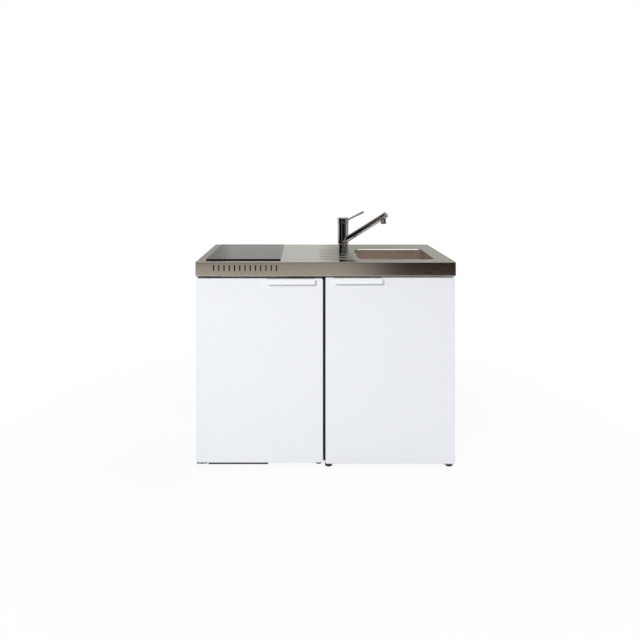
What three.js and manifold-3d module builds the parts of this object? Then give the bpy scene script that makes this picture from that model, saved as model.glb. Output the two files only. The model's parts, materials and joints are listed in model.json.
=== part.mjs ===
// Kitchenette: a fridge and a cupboard side by side under one folded stainless worktop
// with a hob, a drainer, a pressed bowl and a single-lever tap.
// Millimetres. X runs to the right, Y to the back, Z up; Z = 0 is the floor.
import * as THREE from 'three';
import { mergeVertices } from 'three/addons/utils/BufferGeometryUtils.js';
import Module from 'manifold-3d';

const wasm = await Module();
wasm.setup();

// ---------------------------------------------------------------- driving dimensions

const WIDTH = 1100;
const DEPTH = 600;
const TOP = 880; // height of the worktop's upper face
const APRON = 59.5; // height of the folded front of the worktop
const SHEET = 1.5; // worktop sheet
const GAP = 0.3; // room between two pieces that touch
const FAR = 1000; // longer than anything it cuts

const LEFT = -WIDTH / 2;
const RIGHT = WIDTH / 2;
const FRONT = -DEPTH / 2;
const BACK = DEPTH / 2;
const UNDERSIDE = TOP - APRON; // where the worktop rests on the two cases

// In the worktop's own frame Z = 0 is its upper face.
const BOWL = { x: [151, 484], y: [-217, 113], corner: 38, depth: 150, curve: 24, sheet: 1.2 };
const DRAIN = { x: 330, y: -50, hole: 42.5 };
const HOB = { x: [-513, -192], y: [-244, 266], glass: 4.7, margin: 11 };
const TAP = { x: 102, y: 142, hole: 17.5 };
const VENT = { count: 13, first: -472.1, pitch: 22.07, width: 4.6, z: [-38.3, -12.6] };
const GROOVE = { count: 5, first: -205, pitch: 72, x: [-20, 128], width: 22, depth: 3 };

const FRIDGE = { x: [-547, -9], y: [-231.7, 238], z: [24.3, UNDERSIDE - GAP], sheet: 1 };
const CAVITY = {
  x: [-505, -51], y: [FRIDGE.y[0], 188], z: [70, 774], stepY: 68, stepZ: 235, wall: 1.5,
};
const NICHE = { y: 104, z: 222 }; // room for the compressor behind the step
const FRIDGE_DOOR = { x: [LEFT, -11], y: [-282, -240], z: [26.8, 808], corner: 9, sheet: 1 };
const FRIDGE_PIVOT = { x: LEFT + 14, y: -261 };

const CUPBOARD = { x: [-5, 547], y: [-253, 290], z: [20, UNDERSIDE - GAP], sheet: 1.2 };
const CUPBOARD_DOOR = { x: [0.6, 549.3], y: [-280, -260], z: [20.6, 812.4], corner: 5, sheet: 1 };
const CUPBOARD_PIVOT = { x: CUPBOARD_DOOR.x[1] - 10, y: -270 };

const PIN = 4; // radius of the hinge pins
const FOOT = { radius: 16, height: 15, stud: 4 };

// ---------------------------------------------------------------- shapes

// A closed geometry as a solid that can be joined and cut, faces turned outwards.
function solidOf(geometry) {
  const bare = geometry.clone();
  bare.deleteAttribute('normal');
  bare.deleteAttribute('uv');
  const merged = mergeVertices(bare, 1e-4);
  const at = merged.attributes.position;
  const corner = (i) => new THREE.Vector3().fromBufferAttribute(at, merged.index.getX(i));
  const faces = [];
  let volume = 0;
  for (let i = 0; i < merged.index.count; i += 3) {
    const face = [0, 1, 2].map((k) => merged.index.getX(i + k));
    if (new Set(face).size < 3) continue; // a sliver at a pole
    faces.push(face);
    volume += corner(i).dot(corner(i + 1).cross(corner(i + 2)));
  }
  if (volume < 0) faces.forEach((face) => face.reverse());
  const mesh = new wasm.Mesh({
    numProp: 3,
    vertProperties: Float32Array.from(at.array),
    triVerts: Uint32Array.from(faces.flat()),
  });
  return new wasm.Manifold(mesh);
}

function geometryOf(solid) {
  const mesh = solid.getMesh();
  const geometry = new THREE.BufferGeometry();
  geometry.setAttribute('position', new THREE.BufferAttribute(mesh.vertProperties, 3));
  geometry.setIndex(new THREE.BufferAttribute(mesh.triVerts, 1));
  geometry.computeVertexNormals();
  return geometry;
}

const join = (first, ...others) => others.reduce((sum, other) => sum.add(other), first);
const cut = (first, ...tools) => tools.reduce((rest, tool) => rest.subtract(tool), first);
const grown = ([low, high], by) => [low - by, high + by];
const middle = ([low, high]) => (low + high) / 2;

function box([x0, x1], [y0, y1], [z0, z1]) {
  const geometry = new THREE.BoxGeometry(x1 - x0, y1 - y0, z1 - z0);
  return solidOf(geometry.translate((x0 + x1) / 2, (y0 + y1) / 2, (z0 + z1) / 2));
}

// A rectangle with round corners, as a flat outline.
function roundedOutline([u0, u1], [v0, v1], radius) {
  const outline = new THREE.Shape();
  const quarter = Math.PI / 2;
  outline.absarc(u1 - radius, v0 + radius, radius, -quarter, 0);
  outline.absarc(u1 - radius, v1 - radius, radius, 0, quarter);
  outline.absarc(u0 + radius, v1 - radius, radius, quarter, 2 * quarter);
  outline.absarc(u0 + radius, v0 + radius, radius, 2 * quarter, 3 * quarter);
  return outline;
}

function polygon(points) {
  return new THREE.Shape(points.map(([u, v]) => new THREE.Vector2(u, v)));
}

// An outline drawn in the plane across an axis and pushed along it from one place to another.
// Along X the outline holds (Y, Z), along Y it holds (X, Z), along Z it holds (X, Y).
const BASES = {
  x: [[0, 1, 0], [0, 0, 1], [1, 0, 0]],
  y: [[1, 0, 0], [0, 0, 1], [0, -1, 0]],
  z: [[1, 0, 0], [0, 1, 0], [0, 0, 1]],
};
function extruded(axis, outline, [from, to], options = {}) {
  const settings = { depth: to - from, bevelEnabled: false, curveSegments: 2, ...options };
  const geometry = new THREE.ExtrudeGeometry(outline, settings);
  const basis = BASES[axis].map((v) => new THREE.Vector3(...v));
  geometry.applyMatrix4(new THREE.Matrix4().makeBasis(...basis));
  const start = axis === 'y' ? to : from;
  geometry.translate(...basis[2].clone().multiplyScalar(axis === 'y' ? -start : start));
  return solidOf(geometry);
}

const slab = (x, y, z, radius, segments = 2) =>
  extruded('z', roundedOutline(x, y, radius), z, { curveSegments: segments });
const panel = (x, y, z, radius, segments = 2) =>
  extruded('y', roundedOutline(x, z, radius), y, { curveSegments: segments });

// A round bar along an axis; the other two coordinates of its middle line come in X, Y, Z order.
function bar(axis, [a, b], [from, to], radius, sides = 20) {
  const geometry = new THREE.CylinderGeometry(radius, radius, to - from, sides);
  const centre = (from + to) / 2;
  if (axis === 'x') geometry.rotateZ(-Math.PI / 2).translate(centre, a, b);
  if (axis === 'y') geometry.translate(a, centre, b);
  if (axis === 'z') geometry.rotateX(Math.PI / 2).translate(a, b, centre);
  return solidOf(geometry);
}

// A profile of [radius, height] points, from axis to axis, turned about a vertical axis.
function revolved(profile, [x, y] = [0, 0], sides = 20) {
  const points = profile.map(([radius, height]) => new THREE.Vector2(radius, height));
  return solidOf(new THREE.LatheGeometry(points, sides).rotateX(Math.PI / 2).translate(x, y, 0));
}

// A path through given points, one step of the tube to each.
class Route extends THREE.Curve {
  constructor(points) {
    super();
    this.points = points;
  }
  getPoint(t) {
    const place = t * (this.points.length - 1);
    const index = Math.min(Math.floor(place), this.points.length - 2);
    return this.points[index].clone().lerp(this.points[index + 1], place - index);
  }
  getUtoTmapping(u) {
    return u;
  }
}

// Straight runs between corners, with every corner rounded off to a radius.
function roundedRoute(corners, radius, steps = 4) {
  const at = corners.map((corner) => new THREE.Vector3(...corner));
  const points = [at[0]];
  for (let i = 1; i < at.length - 1; i += 1) {
    const start = at[i].clone().add(at[i - 1].clone().sub(at[i]).setLength(radius));
    const end = at[i].clone().add(at[i + 1].clone().sub(at[i]).setLength(radius));
    const bend = new THREE.QuadraticBezierCurve3(start, at[i], end);
    points.push(...bend.getPoints(steps));
  }
  points.push(at[at.length - 1]);
  return points;
}

function tube(points, radius, sides) {
  const section = new THREE.Shape();
  section.absarc(0, 0, radius, 0, 2 * Math.PI);
  return solidOf(new THREE.ExtrudeGeometry(section, {
    steps: points.length - 1,
    curveSegments: sides / 2,
    extrudePath: new Route(points),
  }));
}

// ---------------------------------------------------------------- materials

const finish = (color, roughness, metalness) =>
  new THREE.MeshStandardMaterial({ color, roughness, metalness });

const brushedSteel = finish(0xa29e98, 0.32, 1);
const chrome = finish(0xd8d8da, 0.08, 1);
const blackGlass = finish(0x101214, 0.06, 0);
const clearGlass = finish(0xcfe0dc, 0.05, 0);
const whiteSteel = finish(0xeceff2, 0.35, 0.1);
const whitePlastic = finish(0xf2f2f0, 0.45, 0);
const greyPlastic = finish(0x8c9094, 0.5, 0);
const darkPlastic = finish(0x2a2c2e, 0.6, 0);
const darkSteel = finish(0x303234, 0.5, 0.5);
const zinc = finish(0xb4b6b8, 0.4, 0.9);
const aluminium = finish(0xcfd2d4, 0.35, 0.9);
const foamYellow = finish(0xe6d9a8, 0.9, 0);
const heaterGrey = finish(0x77726c, 0.8, 0.2);
const melamine = finish(0xe9e9e6, 0.5, 0);

const kitchenette = new THREE.Group();

function groupAt(parent, x, y, z) {
  const group = new THREE.Group();
  group.position.set(x, y, z);
  parent.add(group);
  return group;
}

function place(group, name, solid, material) {
  const mesh = new THREE.Mesh(geometryOf(solid), material);
  mesh.name = name;
  group.add(mesh);
  return mesh;
}

// ---------------------------------------------------------------- worktop and bowl

const worktopUnit = groupAt(kitchenette, 0, 0, TOP);

// A shallow groove pressed into the sheet: the bulge under it and the hollow that is cut away.
function groove(y) {
  const radius = (GROOVE.width ** 2 / 4 + GROOVE.depth ** 2) / (2 * GROOVE.depth);
  const height = radius - GROOVE.depth;
  const below = box([-FAR, FAR], [-FAR, FAR], [-FAR, -SHEET / 2]);
  return {
    bulge: bar('x', [y, height], grown(GROOVE.x, SHEET), radius + SHEET, 48).intersect(below),
    hollow: bar('x', [y, height], GROOVE.x, radius, 48),
  };
}

function worktop() {
  const lip = 22;
  let shell = cut(
    slab([LEFT, RIGHT], [FRONT, BACK], [-APRON, 0], 3, 1),
    slab(grown([LEFT, RIGHT], -SHEET), grown([FRONT, BACK], -SHEET), [SHEET - APRON, -SHEET], 2, 1),
    box(grown([LEFT, RIGHT], -lip), grown([FRONT, BACK], -lip), [-FAR, 2 * SHEET - APRON]),
  );
  const grooves = Array.from({ length: GROOVE.count }, (_, i) => groove(GROOVE.first + i * GROOVE.pitch));
  shell = join(shell, ...grooves.map((one) => one.bulge));
  shell = cut(shell, ...grooves.map((one) => one.hollow));

  const half = VENT.width / 2;
  const vents = Array.from({ length: VENT.count }, (_, i) => {
    const x = VENT.first + i * VENT.pitch;
    return panel([x - half, x + half], [FRONT - 1, FRONT + 2 * SHEET], VENT.z, half, 1);
  });
  return cut(
    shell,
    ...vents,
    slab(BOWL.x, BOWL.y, [-5, 5], BOWL.corner, 3),
    slab(grown(HOB.x, -HOB.margin), grown(HOB.y, -HOB.margin), [-5, 5], 6, 1),
    bar('z', [TAP.x, TAP.y], [-5, 5], TAP.hole, 32),
  );
}

// The inside of a pressed bowl, grown on all sides by a wall.
function basin(wall) {
  const outline = roundedOutline(grown(BOWL.x, wall), grown(BOWL.y, wall), BOWL.corner + wall);
  const bottom = -BOWL.depth - wall;
  const curve = BOWL.curve + wall;
  const pressed = extruded('z', outline, [bottom + curve, curve], {
    curveSegments: 3,
    bevelEnabled: true,
    bevelThickness: curve,
    bevelSize: curve,
    bevelOffset: -curve,
    bevelSegments: 3,
  });
  return pressed.subtract(box([-FAR, FAR], [-FAR, FAR], [-SHEET - GAP, FAR]));
}

const OVERFLOW = { y: DRAIN.y, z: -38, radius: 10 };

function sinkBowl() {
  const rim = 6;
  const flangeTop = -SHEET - GAP;
  const flange = slab(grown(BOWL.x, rim), grown(BOWL.y, rim), [flangeTop - BOWL.sheet, flangeTop],
    BOWL.corner + rim, 3);
  return cut(
    join(basin(BOWL.sheet), flange),
    join(basin(0), slab(BOWL.x, BOWL.y, [-5, 5], BOWL.corner, 3)),
    bar('z', [DRAIN.x, DRAIN.y], [-BOWL.depth - 5, -BOWL.depth + 5], DRAIN.hole, 24),
    bar('x', [OVERFLOW.y, OVERFLOW.z], [BOWL.x[0] - 5, BOWL.x[0] + 5], OVERFLOW.radius, 16),
  );
}

place(worktopUnit, 'worktop', worktop(), brushedSteel);
place(worktopUnit, 'sink_bowl', sinkBowl(), brushedSteel);

// ---------------------------------------------------------------- waste

const SPIGOT = { outer: 20, bore: 17, end: -215 };
const TRAP = {
  outlet: -280, radius: 36, bore: 33, joint: -302, shoulder: -262, dip: -350, bottom: -392,
};
const drainLine = [DRAIN.x, DRAIN.y];

// Strainer cup, hung in the bowl's hole by its flange; its spigot points down.
function strainerCup() {
  const floor = -BOWL.depth + GAP;
  const cup = revolved([
    [0, SPIGOT.end], [SPIGOT.outer, SPIGOT.end], [SPIGOT.outer, -196.5], [42, -196.5], [42, floor],
    [56, floor], [56, floor + 0.8], [54, floor + 1.8], [42, floor + 1.4], [0, floor + 1.4],
  ], drainLine, 24);
  return cut(
    cup,
    bar('z', drainLine, [-194.5, 0], 40, 24),
    bar('z', drainLine, [-FAR, 0], SPIGOT.bore, 20),
    bar('x', [DRAIN.y, -180], [DRAIN.x - 50, DRAIN.x - 30], 8, 12),
  );
}

// Basket with a knob; six slots in its floor let the water through.
function strainerBasket() {
  const top = -BOWL.depth + 2.2;
  const outside = revolved([[0, -188], [30, -188], [38, -180], [38.5, top], [0, top]], drainLine, 24);
  const inside = revolved([
    [0, -186.5], [29, -186.5], [36.6, -179], [37.1, top + 1], [0, top + 1],
  ], drainLine, 24);
  const knob = revolved([
    [0, -187], [5, -187], [4, -164], [9, -160], [9, -156], [0, -154.5],
  ], drainLine, 16);
  const slotRing = 19;
  const slots = Array.from({ length: 6 }, (_, i) => {
    const angle = (i * Math.PI) / 3;
    const at = [DRAIN.x + slotRing * Math.cos(angle), DRAIN.y + slotRing * Math.sin(angle)];
    return bar('z', at, [-190, -184], 4, 8);
  });
  return cut(join(outside.subtract(inside), knob), ...slots);
}

function overflowCover() {
  const disc = bar('x', [OVERFLOW.y, OVERFLOW.z], [BOWL.x[0] + GAP, BOWL.x[0] + 3], 17, 24);
  const slots = [-6, 0, 6].map((dz) => {
    const half = dz === 0 ? 8 : 6;
    return box([BOWL.x[0], BOWL.x[0] + 5], grown([OVERFLOW.y, OVERFLOW.y], half),
      grown([OVERFLOW.z + dz, OVERFLOW.z + dz], 1.5));
  });
  return cut(disc, ...slots);
}

function overflowPipe() {
  const start = BOWL.x[0] - BOWL.sheet - GAP;
  return tube(roundedRoute([
    [start, OVERFLOW.y, OVERFLOW.z],
    [start - 24, OVERFLOW.y, OVERFLOW.z],
    [start - 24, OVERFLOW.y, -180],
    [DRAIN.x - 42 - GAP, OVERFLOW.y, -180],
  ], 18), OVERFLOW.radius, 12);
}

// Bottle trap: the body hangs on the spigot, and the cup screws on from below.
function trapBody() {
  const { outlet, radius, bore, joint, shoulder, dip } = TRAP;
  const start = SPIGOT.end - GAP;
  const outletLine = [DRAIN.x, outlet];
  const outside = join(
    revolved([
      [0, joint], [radius, joint], [radius, shoulder], [24, shoulder + 10], [24, -230],
      [SPIGOT.outer, -228], [SPIGOT.outer, start], [0, start],
    ], drainLine),
    bar('y', outletLine, [DRAIN.y + 20, DRAIN.y + 55], SPIGOT.outer),
  );
  const hollow = join(
    bar('z', drainLine, [-FAR, shoulder - 2], bore),
    bar('z', drainLine, [shoulder - 2.5, 0], SPIGOT.bore),
    bar('y', outletLine, [DRAIN.y + 20, DRAIN.y + 60], SPIGOT.bore),
  );
  const ceiling = bar('z', drainLine, [shoulder - 4, shoulder], bore + 1);
  const dipPipe = bar('z', drainLine, [dip, shoulder - 0.5], 16);
  return join(
    outside.subtract(hollow),
    cut(join(dipPipe, ceiling), bar('z', drainLine, [dip - 1, 0], 14)),
  );
}

function trapCup() {
  const { radius, bore, joint, bottom } = TRAP;
  const top = joint - GAP;
  return cut(
    revolved([[0, bottom], [26, bottom], [radius, bottom + 12], [radius, top], [0, top]], drainLine),
    revolved([[0, bottom + 3], [25, bottom + 3], [bore, bottom + 13], [bore, 0], [0, 0]], drainLine),
  );
}

function wastePipe() {
  const outletLine = [DRAIN.x, TRAP.outlet];
  const run = [DRAIN.y + 55 + GAP, BACK - 6];
  const nut = [run[0], run[0] + 26];
  return cut(
    join(bar('y', outletLine, run, SPIGOT.outer), bar('y', outletLine, nut, SPIGOT.outer + 5)),
    bar('y', outletLine, grown(run, 1), SPIGOT.bore),
  );
}

place(worktopUnit, 'strainer_cup', strainerCup(), chrome);
place(worktopUnit, 'strainer_basket', strainerBasket(), chrome);
place(worktopUnit, 'overflow_cover', overflowCover(), chrome);
place(worktopUnit, 'overflow_pipe', overflowPipe(), whitePlastic);
place(worktopUnit, 'trap_body', trapBody(), whitePlastic);
place(worktopUnit, 'trap_cup', trapCup(), whitePlastic);
place(worktopUnit, 'waste_pipe', wastePipe(), whitePlastic);

// ---------------------------------------------------------------- hob

const hobMiddle = middle(HOB.x);
const CASING = { x: grown(HOB.x, -14), y: grown(HOB.y, -14), z: [-52, 0], sheet: 1 };
const HEATERS = { front: { y: -100, radius: 72.5 }, rear: { y: 110, radius: 90 } };

const hobUnit = groupAt(worktopUnit, 0, 0, 0);

const HEATER_Z = [-29, -2];

function hobCasing() {
  const { x, y, z, sheet } = CASING;
  const tray = cut(slab(x, y, z, 4, 1), box(grown(x, -sheet), grown(y, -sheet), [z[0] + sheet, FAR]));
  const gland = bar('y', [x[1] - 50, -34], [y[1] - sheet / 2, y[1] + 10], 8, 12);
  const posts = Object.values(HEATERS).map((heater) =>
    box(grown([hobMiddle, hobMiddle], 20), grown([heater.y, heater.y], 20), [z[0], HEATER_Z[0] - GAP]));
  return join(tray, gland, ...posts);
}

// Insulating dish with a raised rim; the heating ribbon lies in it.
function heater({ y, radius }) {
  const [floor, top] = HEATER_Z;
  const rim = 8;
  const ribbon = top - 12;
  return revolved([
    [0, floor], [radius - 4, floor], [radius, floor + 4], [radius, top], [radius - rim, top],
    [radius - rim, ribbon], [0, ribbon],
  ], [hobMiddle, y], 32);
}

// Touch control unit under the front of the glass, on two legs.
function hobControl() {
  const front = HOB.y[0] + 20;
  const legs = [-85, 85].map((dx) =>
    box(grown([hobMiddle + dx, hobMiddle + dx], 5), [front + 10, front + 28],
      [CASING.z[0] + CASING.sheet + GAP, -15]));
  return join(box(grown([hobMiddle, hobMiddle], 110), [front, front + 38], [-16, -1]), ...legs);
}

place(hobUnit, 'hob_glass', slab(HOB.x, HOB.y, [GAP, GAP + HOB.glass], 3, 1), blackGlass);
place(hobUnit, 'hob_casing', hobCasing(), darkSteel);
place(hobUnit, 'heater_front', heater(HEATERS.front), heaterGrey);
place(hobUnit, 'heater_rear', heater(HEATERS.rear), heaterGrey);
place(hobUnit, 'hob_control', hobControl(), greyPlastic);

// ---------------------------------------------------------------- tap

const tapUnit = groupAt(worktopUnit, TAP.x, TAP.y, 0);
const axis = [0, 0]; // the tap's own upright middle line
const SLEEVE = { radius: 26.5, bore: 18.6, z: [25.4, 127] };
const SPOUT = { turn: -30, slope: 32, start: 33.2, reach: 227.6, radius: 14, outlet: 214 };
const AERATOR = { radius: 13.5, z: [131.6, 141.3] };
const CAP = { radius: 27.5, z: [127.4, 151.3] };
const LEVER = { pivot: [14, 137.5], slope: 26.5, length: 98, pin: 2, radius: 4.2, grip: 5.4 };
const SHANK = { radius: 16, z: -62 }; // goes through the worktop's hole
const COLUMN = { radius: 18, top: 112 }; // carries the spout's sleeve

function tapBody() {
  const base = SLEEVE.radius;
  return join(
    revolved([
      [0, SHANK.z], [SHANK.radius, SHANK.z], [SHANK.radius, GAP], [base, GAP], [base, 22],
      [base - 1, 25], [0, 25],
    ], axis, 40),
    bar('z', axis, [24, COLUMN.top], COLUMN.radius, 32),
  );
}

function tapNut() {
  const nut = [-16, -SHEET - GAP];
  return bar('z', axis, nut, 28, 6).subtract(bar('z', axis, grown(nut, 4), SHANK.radius + GAP, 24));
}

function tapCartridge() {
  return join(
    bar('z', axis, [COLUMN.top + GAP, SLEEVE.z[1]], 17, 24),
    bar('z', axis, [SLEEVE.z[1] - 1, 133], 5, 12),
  );
}

place(tapUnit, 'tap_body', tapBody(), chrome);
place(tapUnit, 'tap_nut', tapNut(), zinc);
place(tapUnit, 'tap_cartridge', tapCartridge(), greyPlastic);

// The spout's own frame points along +X; the whole of it is swung to the front.
const spoutGroup = groupAt(tapUnit, 0, 0, 0);
spoutGroup.rotation.z = THREE.MathUtils.degToRad(SPOUT.turn);

function spoutPoint(reach) {
  return [reach, 0, SPOUT.start + reach * Math.tan(THREE.MathUtils.degToRad(SPOUT.slope))];
}

function straightTube(from, to, radius, sides) {
  return tube([new THREE.Vector3(...from), new THREE.Vector3(...to)], radius, sides);
}

function spout() {
  const { reach, radius, outlet } = SPOUT;
  const sleeve = bar('z', axis, SLEEVE.z, SLEEVE.radius, 40);
  const pipe = straightTube(spoutPoint(4), spoutPoint(reach), radius, 24);
  const endCap = straightTube(spoutPoint(reach - 11), spoutPoint(reach + 1), radius + 0.7, 24);
  const boss = bar('z', [outlet, 0], [AERATOR.z[1] + GAP, spoutPoint(outlet)[2]], 12, 24);
  return cut(join(sleeve, pipe, endCap, boss), bar('z', axis, [0, FAR], SLEEVE.bore, 32));
}

function aerator() {
  const { radius, z } = AERATOR;
  return bar('z', [SPOUT.outlet, 0], z, radius, 24)
    .subtract(bar('z', [SPOUT.outlet, 0], [z[0] - 1, z[0] + 3], radius - 3, 24));
}

place(spoutGroup, 'tap_spout', spout(), chrome);
place(spoutGroup, 'tap_aerator', aerator(), chrome);

// Cap over the cartridge, slotted on one side for the lever and its pin.
function tapCap() {
  const notch = box([7.5, FAR], [-6, 6], [LEVER.pivot[1] - 6.5, FAR]);
  return cut(
    revolved([
      [0, CAP.z[0]], [CAP.radius, CAP.z[0]], [CAP.radius, CAP.z[1] - 2], [CAP.radius - 2, CAP.z[1]],
      [0, CAP.z[1] + 1.2],
    ], axis, 40),
    notch,
    bar('y', LEVER.pivot, [-17, 17], LEVER.pin + 0.4, 16),
    bar('z', axis, [CAP.z[0] - 1, 134.5], 6, 16),
  );
}

function lever() {
  const slope = THREE.MathUtils.degToRad(LEVER.slope);
  const [x, z] = LEVER.pivot;
  const along = (length) => [x + length * Math.cos(slope), 0, z + length * Math.sin(slope)];
  return join(
    bar('y', LEVER.pivot, [-5.4, 5.4], 5.4, 20),
    bar('y', LEVER.pivot, [-16, 16], LEVER.pin, 16),
    straightTube(along(0), along(LEVER.length), LEVER.radius, 16),
    straightTube(along(LEVER.length - 36), along(LEVER.length), LEVER.grip, 16),
  );
}

place(tapUnit, 'tap_cap', tapCap(), chrome);
place(tapUnit, 'tap_lever', lever(), chrome);

// ---------------------------------------------------------------- fridge case and inside

const fridgeUnit = groupAt(kitchenette, 0, 0, 0);

function fridgeCase() {
  const { x, y, z, sheet } = FRIDGE;
  return cut(
    box(x, y, z),
    box(grown(x, -sheet), [-FAR, y[1] - sheet], [-FAR, z[1] - sheet]),
    box(grown(x, -sheet), [y[1] - 2 * sheet, FAR], [-FAR, NICHE.z]),
  );
}

// The cavity steps forward at the bottom, where the compressor sits behind it.
function cavityBlock(wall, front) {
  const outline = polygon([
    [front, CAVITY.z[0] - wall],
    [CAVITY.stepY + wall, CAVITY.z[0] - wall],
    [CAVITY.stepY + wall, CAVITY.stepZ - wall],
    [CAVITY.y[1] + wall, CAVITY.stepZ - wall],
    [CAVITY.y[1] + wall, CAVITY.z[1] + wall],
    [front, CAVITY.z[1] + wall],
  ]);
  return extruded('x', outline, grown(CAVITY.x, wall));
}

const insideCase = grown(FRIDGE.x, -FRIDGE.sheet - GAP);
const underCaseTop = FRIDGE.z[1] - FRIDGE.sheet - GAP;
const flangeDepth = 1.5;

function fridgeFoam() {
  const back = FRIDGE.y[1] - FRIDGE.sheet - GAP;
  const front = FRIDGE.y[0] + flangeDepth + GAP;
  const block = box(insideCase, [front, back], [FRIDGE.z[0], underCaseTop]);
  return cut(
    block,
    cavityBlock(CAVITY.wall + GAP, -FAR),
    box([-FAR, FAR], [NICHE.y, FAR], [-FAR, NICHE.z]),
  );
}

const SHELVES = { upper: 440, lower: 244, thickness: 4, y: [-135, 180] };

function fridgeLiner() {
  const front = FRIDGE.y[0];
  const flange = box(insideCase, [front, front + flangeDepth], [FRIDGE.z[0] + GAP, underCaseTop]);
  const shell = cut(join(flange, cavityBlock(CAVITY.wall, front)), cavityBlock(0, -FAR));
  const ribs = [SHELVES.upper, SHELVES.lower].flatMap((height) =>
    [[CAVITY.x[0] - 1, CAVITY.x[0] + 6], [CAVITY.x[1] - 6, CAVITY.x[1] + 1]].map((x) =>
      box(x, [-125, 175], [height - 8, height - GAP])));
  return join(shell, ...ribs);
}

function glassShelf(height) {
  return slab(grown(CAVITY.x, -0.6), SHELVES.y, [height, height + SHELVES.thickness], 4, 1);
}

place(fridgeUnit, 'fridge_case', fridgeCase(), whiteSteel);
place(fridgeUnit, 'fridge_foam', fridgeFoam(), foamYellow);
place(fridgeUnit, 'fridge_liner', fridgeLiner(), whitePlastic);
place(fridgeUnit, 'fridge_shelf_upper', glassShelf(SHELVES.upper), clearGlass);
place(fridgeUnit, 'fridge_shelf_lower', glassShelf(SHELVES.lower), clearGlass);

// Freezer box hung from the ceiling by two rails; its side cheeks carry the flap's pivots.
const EVAPORATOR = { x: [-490, -66], y: [-96, 150], z: [648, 766], sheet: 1.5 };
const FLAP = { y: [-106, -98.3], z: [649.5, 764], pivot: [-102, 653], pin: 2 };

function evaporatorBox() {
  const { x, y, z, sheet } = EVAPORATOR;
  const shell = cut(box(x, y, z), box(grown(x, -sheet), [-FAR, y[1] - sheet], grown(z, -sheet)));
  const rails = [x[0] + 50, x[1] - 60].map((left) =>
    box([left, left + 10], grown(y, -15), [z[1] - 0.5, CAVITY.z[1] - GAP]));
  const cheeks = [x[0], x[1] - sheet].map((left) =>
    box([left, left + sheet], [-110, y[0] + 1], [z[0], z[0] + 16]));
  const pivotHoles = bar('x', FLAP.pivot, grown(x, 5), FLAP.pin + 0.4, 12);
  return cut(join(shell, ...rails, ...cheeks), pivotHoles);
}

function freezerFlap() {
  const x = grown(EVAPORATOR.x, -EVAPORATOR.sheet - 0.6);
  const [front, top] = [FLAP.y[0], FLAP.z[1]];
  const grip = box([middle(x) - 50, middle(x) + 50], [front - 8, front + 1], [top - 14, top - 8]);
  return join(
    box(x, FLAP.y, FLAP.z),
    grip,
    bar('x', FLAP.pivot, grown(EVAPORATOR.x, -0.2), FLAP.pin, 12),
  );
}

place(fridgeUnit, 'evaporator_box', evaporatorBox(), aluminium);
place(fridgeUnit, 'freezer_flap', freezerFlap(), whitePlastic);

const CRISPER = { x: [-494, -62], y: [-95, 60], z: [71, 226], wall: 2.5 };

function crisperDrawer() {
  const { x, y, z, wall } = CRISPER;
  return join(
    cut(slab(x, y, z, 12, 1), slab(grown(x, -wall), grown(y, -wall), [z[0] + wall, FAR], 10, 1)),
    box([middle(x) - 70, middle(x) + 70], [y[0] - 7, y[0] + 1], [z[1] - 12, z[1] - 8]),
  );
}

place(fridgeUnit, 'crisper_drawer', crisperDrawer(), clearGlass);

const THERMOSTAT = { x: [-91, CAVITY.x[1] - GAP], y: [-40, 70], z: [560, 616], knob: 16 };

place(fridgeUnit, 'thermostat_housing',
  extruded('x', roundedOutline(THERMOSTAT.y, THERMOSTAT.z, 8), THERMOSTAT.x), whitePlastic);

function thermostatKnob() {
  const { x, y, z, knob } = THERMOSTAT;
  const line = [middle(y) - 25, middle(z)];
  const face = x[0] - GAP;
  return join(
    bar('x', line, [face - 6, face], knob, 24),
    box([face - 14, face - 5], [line[0] - 3, line[0] + 3], [line[1] - 14, line[1] + 14]),
  );
}

place(fridgeUnit, 'thermostat_knob', thermostatKnob(), greyPlastic);

// ---------------------------------------------------------------- fridge base and back

const BASE_PLATE = { x: [-545, -11], y: [-231, 238], z: [22, 24] };
place(fridgeUnit, 'fridge_base_plate', box(BASE_PLATE.x, BASE_PLATE.y, BASE_PLATE.z), zinc);

const COMPRESSOR = { x: -215, y: 172, floor: BASE_PLATE.z[1] + GAP, radius: 60, height: 135 };

function compressor() {
  const { x, y, floor, radius, height } = COMPRESSOR;
  const pot = revolved([
    [0, floor + 6], [radius - 22, floor + 8], [radius - 6, floor + 20], [radius, floor + 40],
    [radius, height - 40], [radius - 8, height - 18], [radius - 28, height - 3], [0, height],
  ], [x, y], 24);
  const feet = box([x - 85, x + 85], [y - 26, y + 26], [floor, floor + 9]);
  const terminals = box([x - 92, x - 50], [y - 24, y + 24], [60, 104]);
  const gland = bar('x', [y, 82], [x - 104, x - 91], 7, 12);
  return join(pot, feet, terminals, gland);
}

place(fridgeUnit, 'compressor', compressor(), darkSteel);

// Condenser: one tube from the compressor's lid up the back in level runs, then into the foam.
const CONDENSER = { x: [-505, -51], y: 264, z: 262, pitch: 62, runs: 9, radius: 3 };

function condenserCoil() {
  const { x, y, z, pitch, runs, radius } = CONDENSER;
  const corners = [
    [COMPRESSOR.x + 30, COMPRESSOR.y, COMPRESSOR.height - 1.5],
    [COMPRESSOR.x + 30, COMPRESSOR.y, COMPRESSOR.height + 40],
    [COMPRESSOR.x + 30, y, COMPRESSOR.height + 40],
    [COMPRESSOR.x + 30, y, z],
  ];
  for (let run = 0; run < runs; run += 1) {
    const height = z + run * pitch;
    const ends = run % 2 === 0 ? x : [...x].reverse();
    if (run > 0) corners.push([ends[0], y, height]);
    corners.push([ends[1], y, height]);
  }
  const last = z + (runs - 1) * pitch;
  corners[corners.length - 1] = [x[1] - 60, y, last];
  corners.push([x[1] - 60, FRIDGE.y[1] + GAP, last]);
  return tube(roundedRoute(corners, 12, 3), radius, 6);
}

place(fridgeUnit, 'condenser_coil', condenserCoil(), darkSteel);

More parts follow.
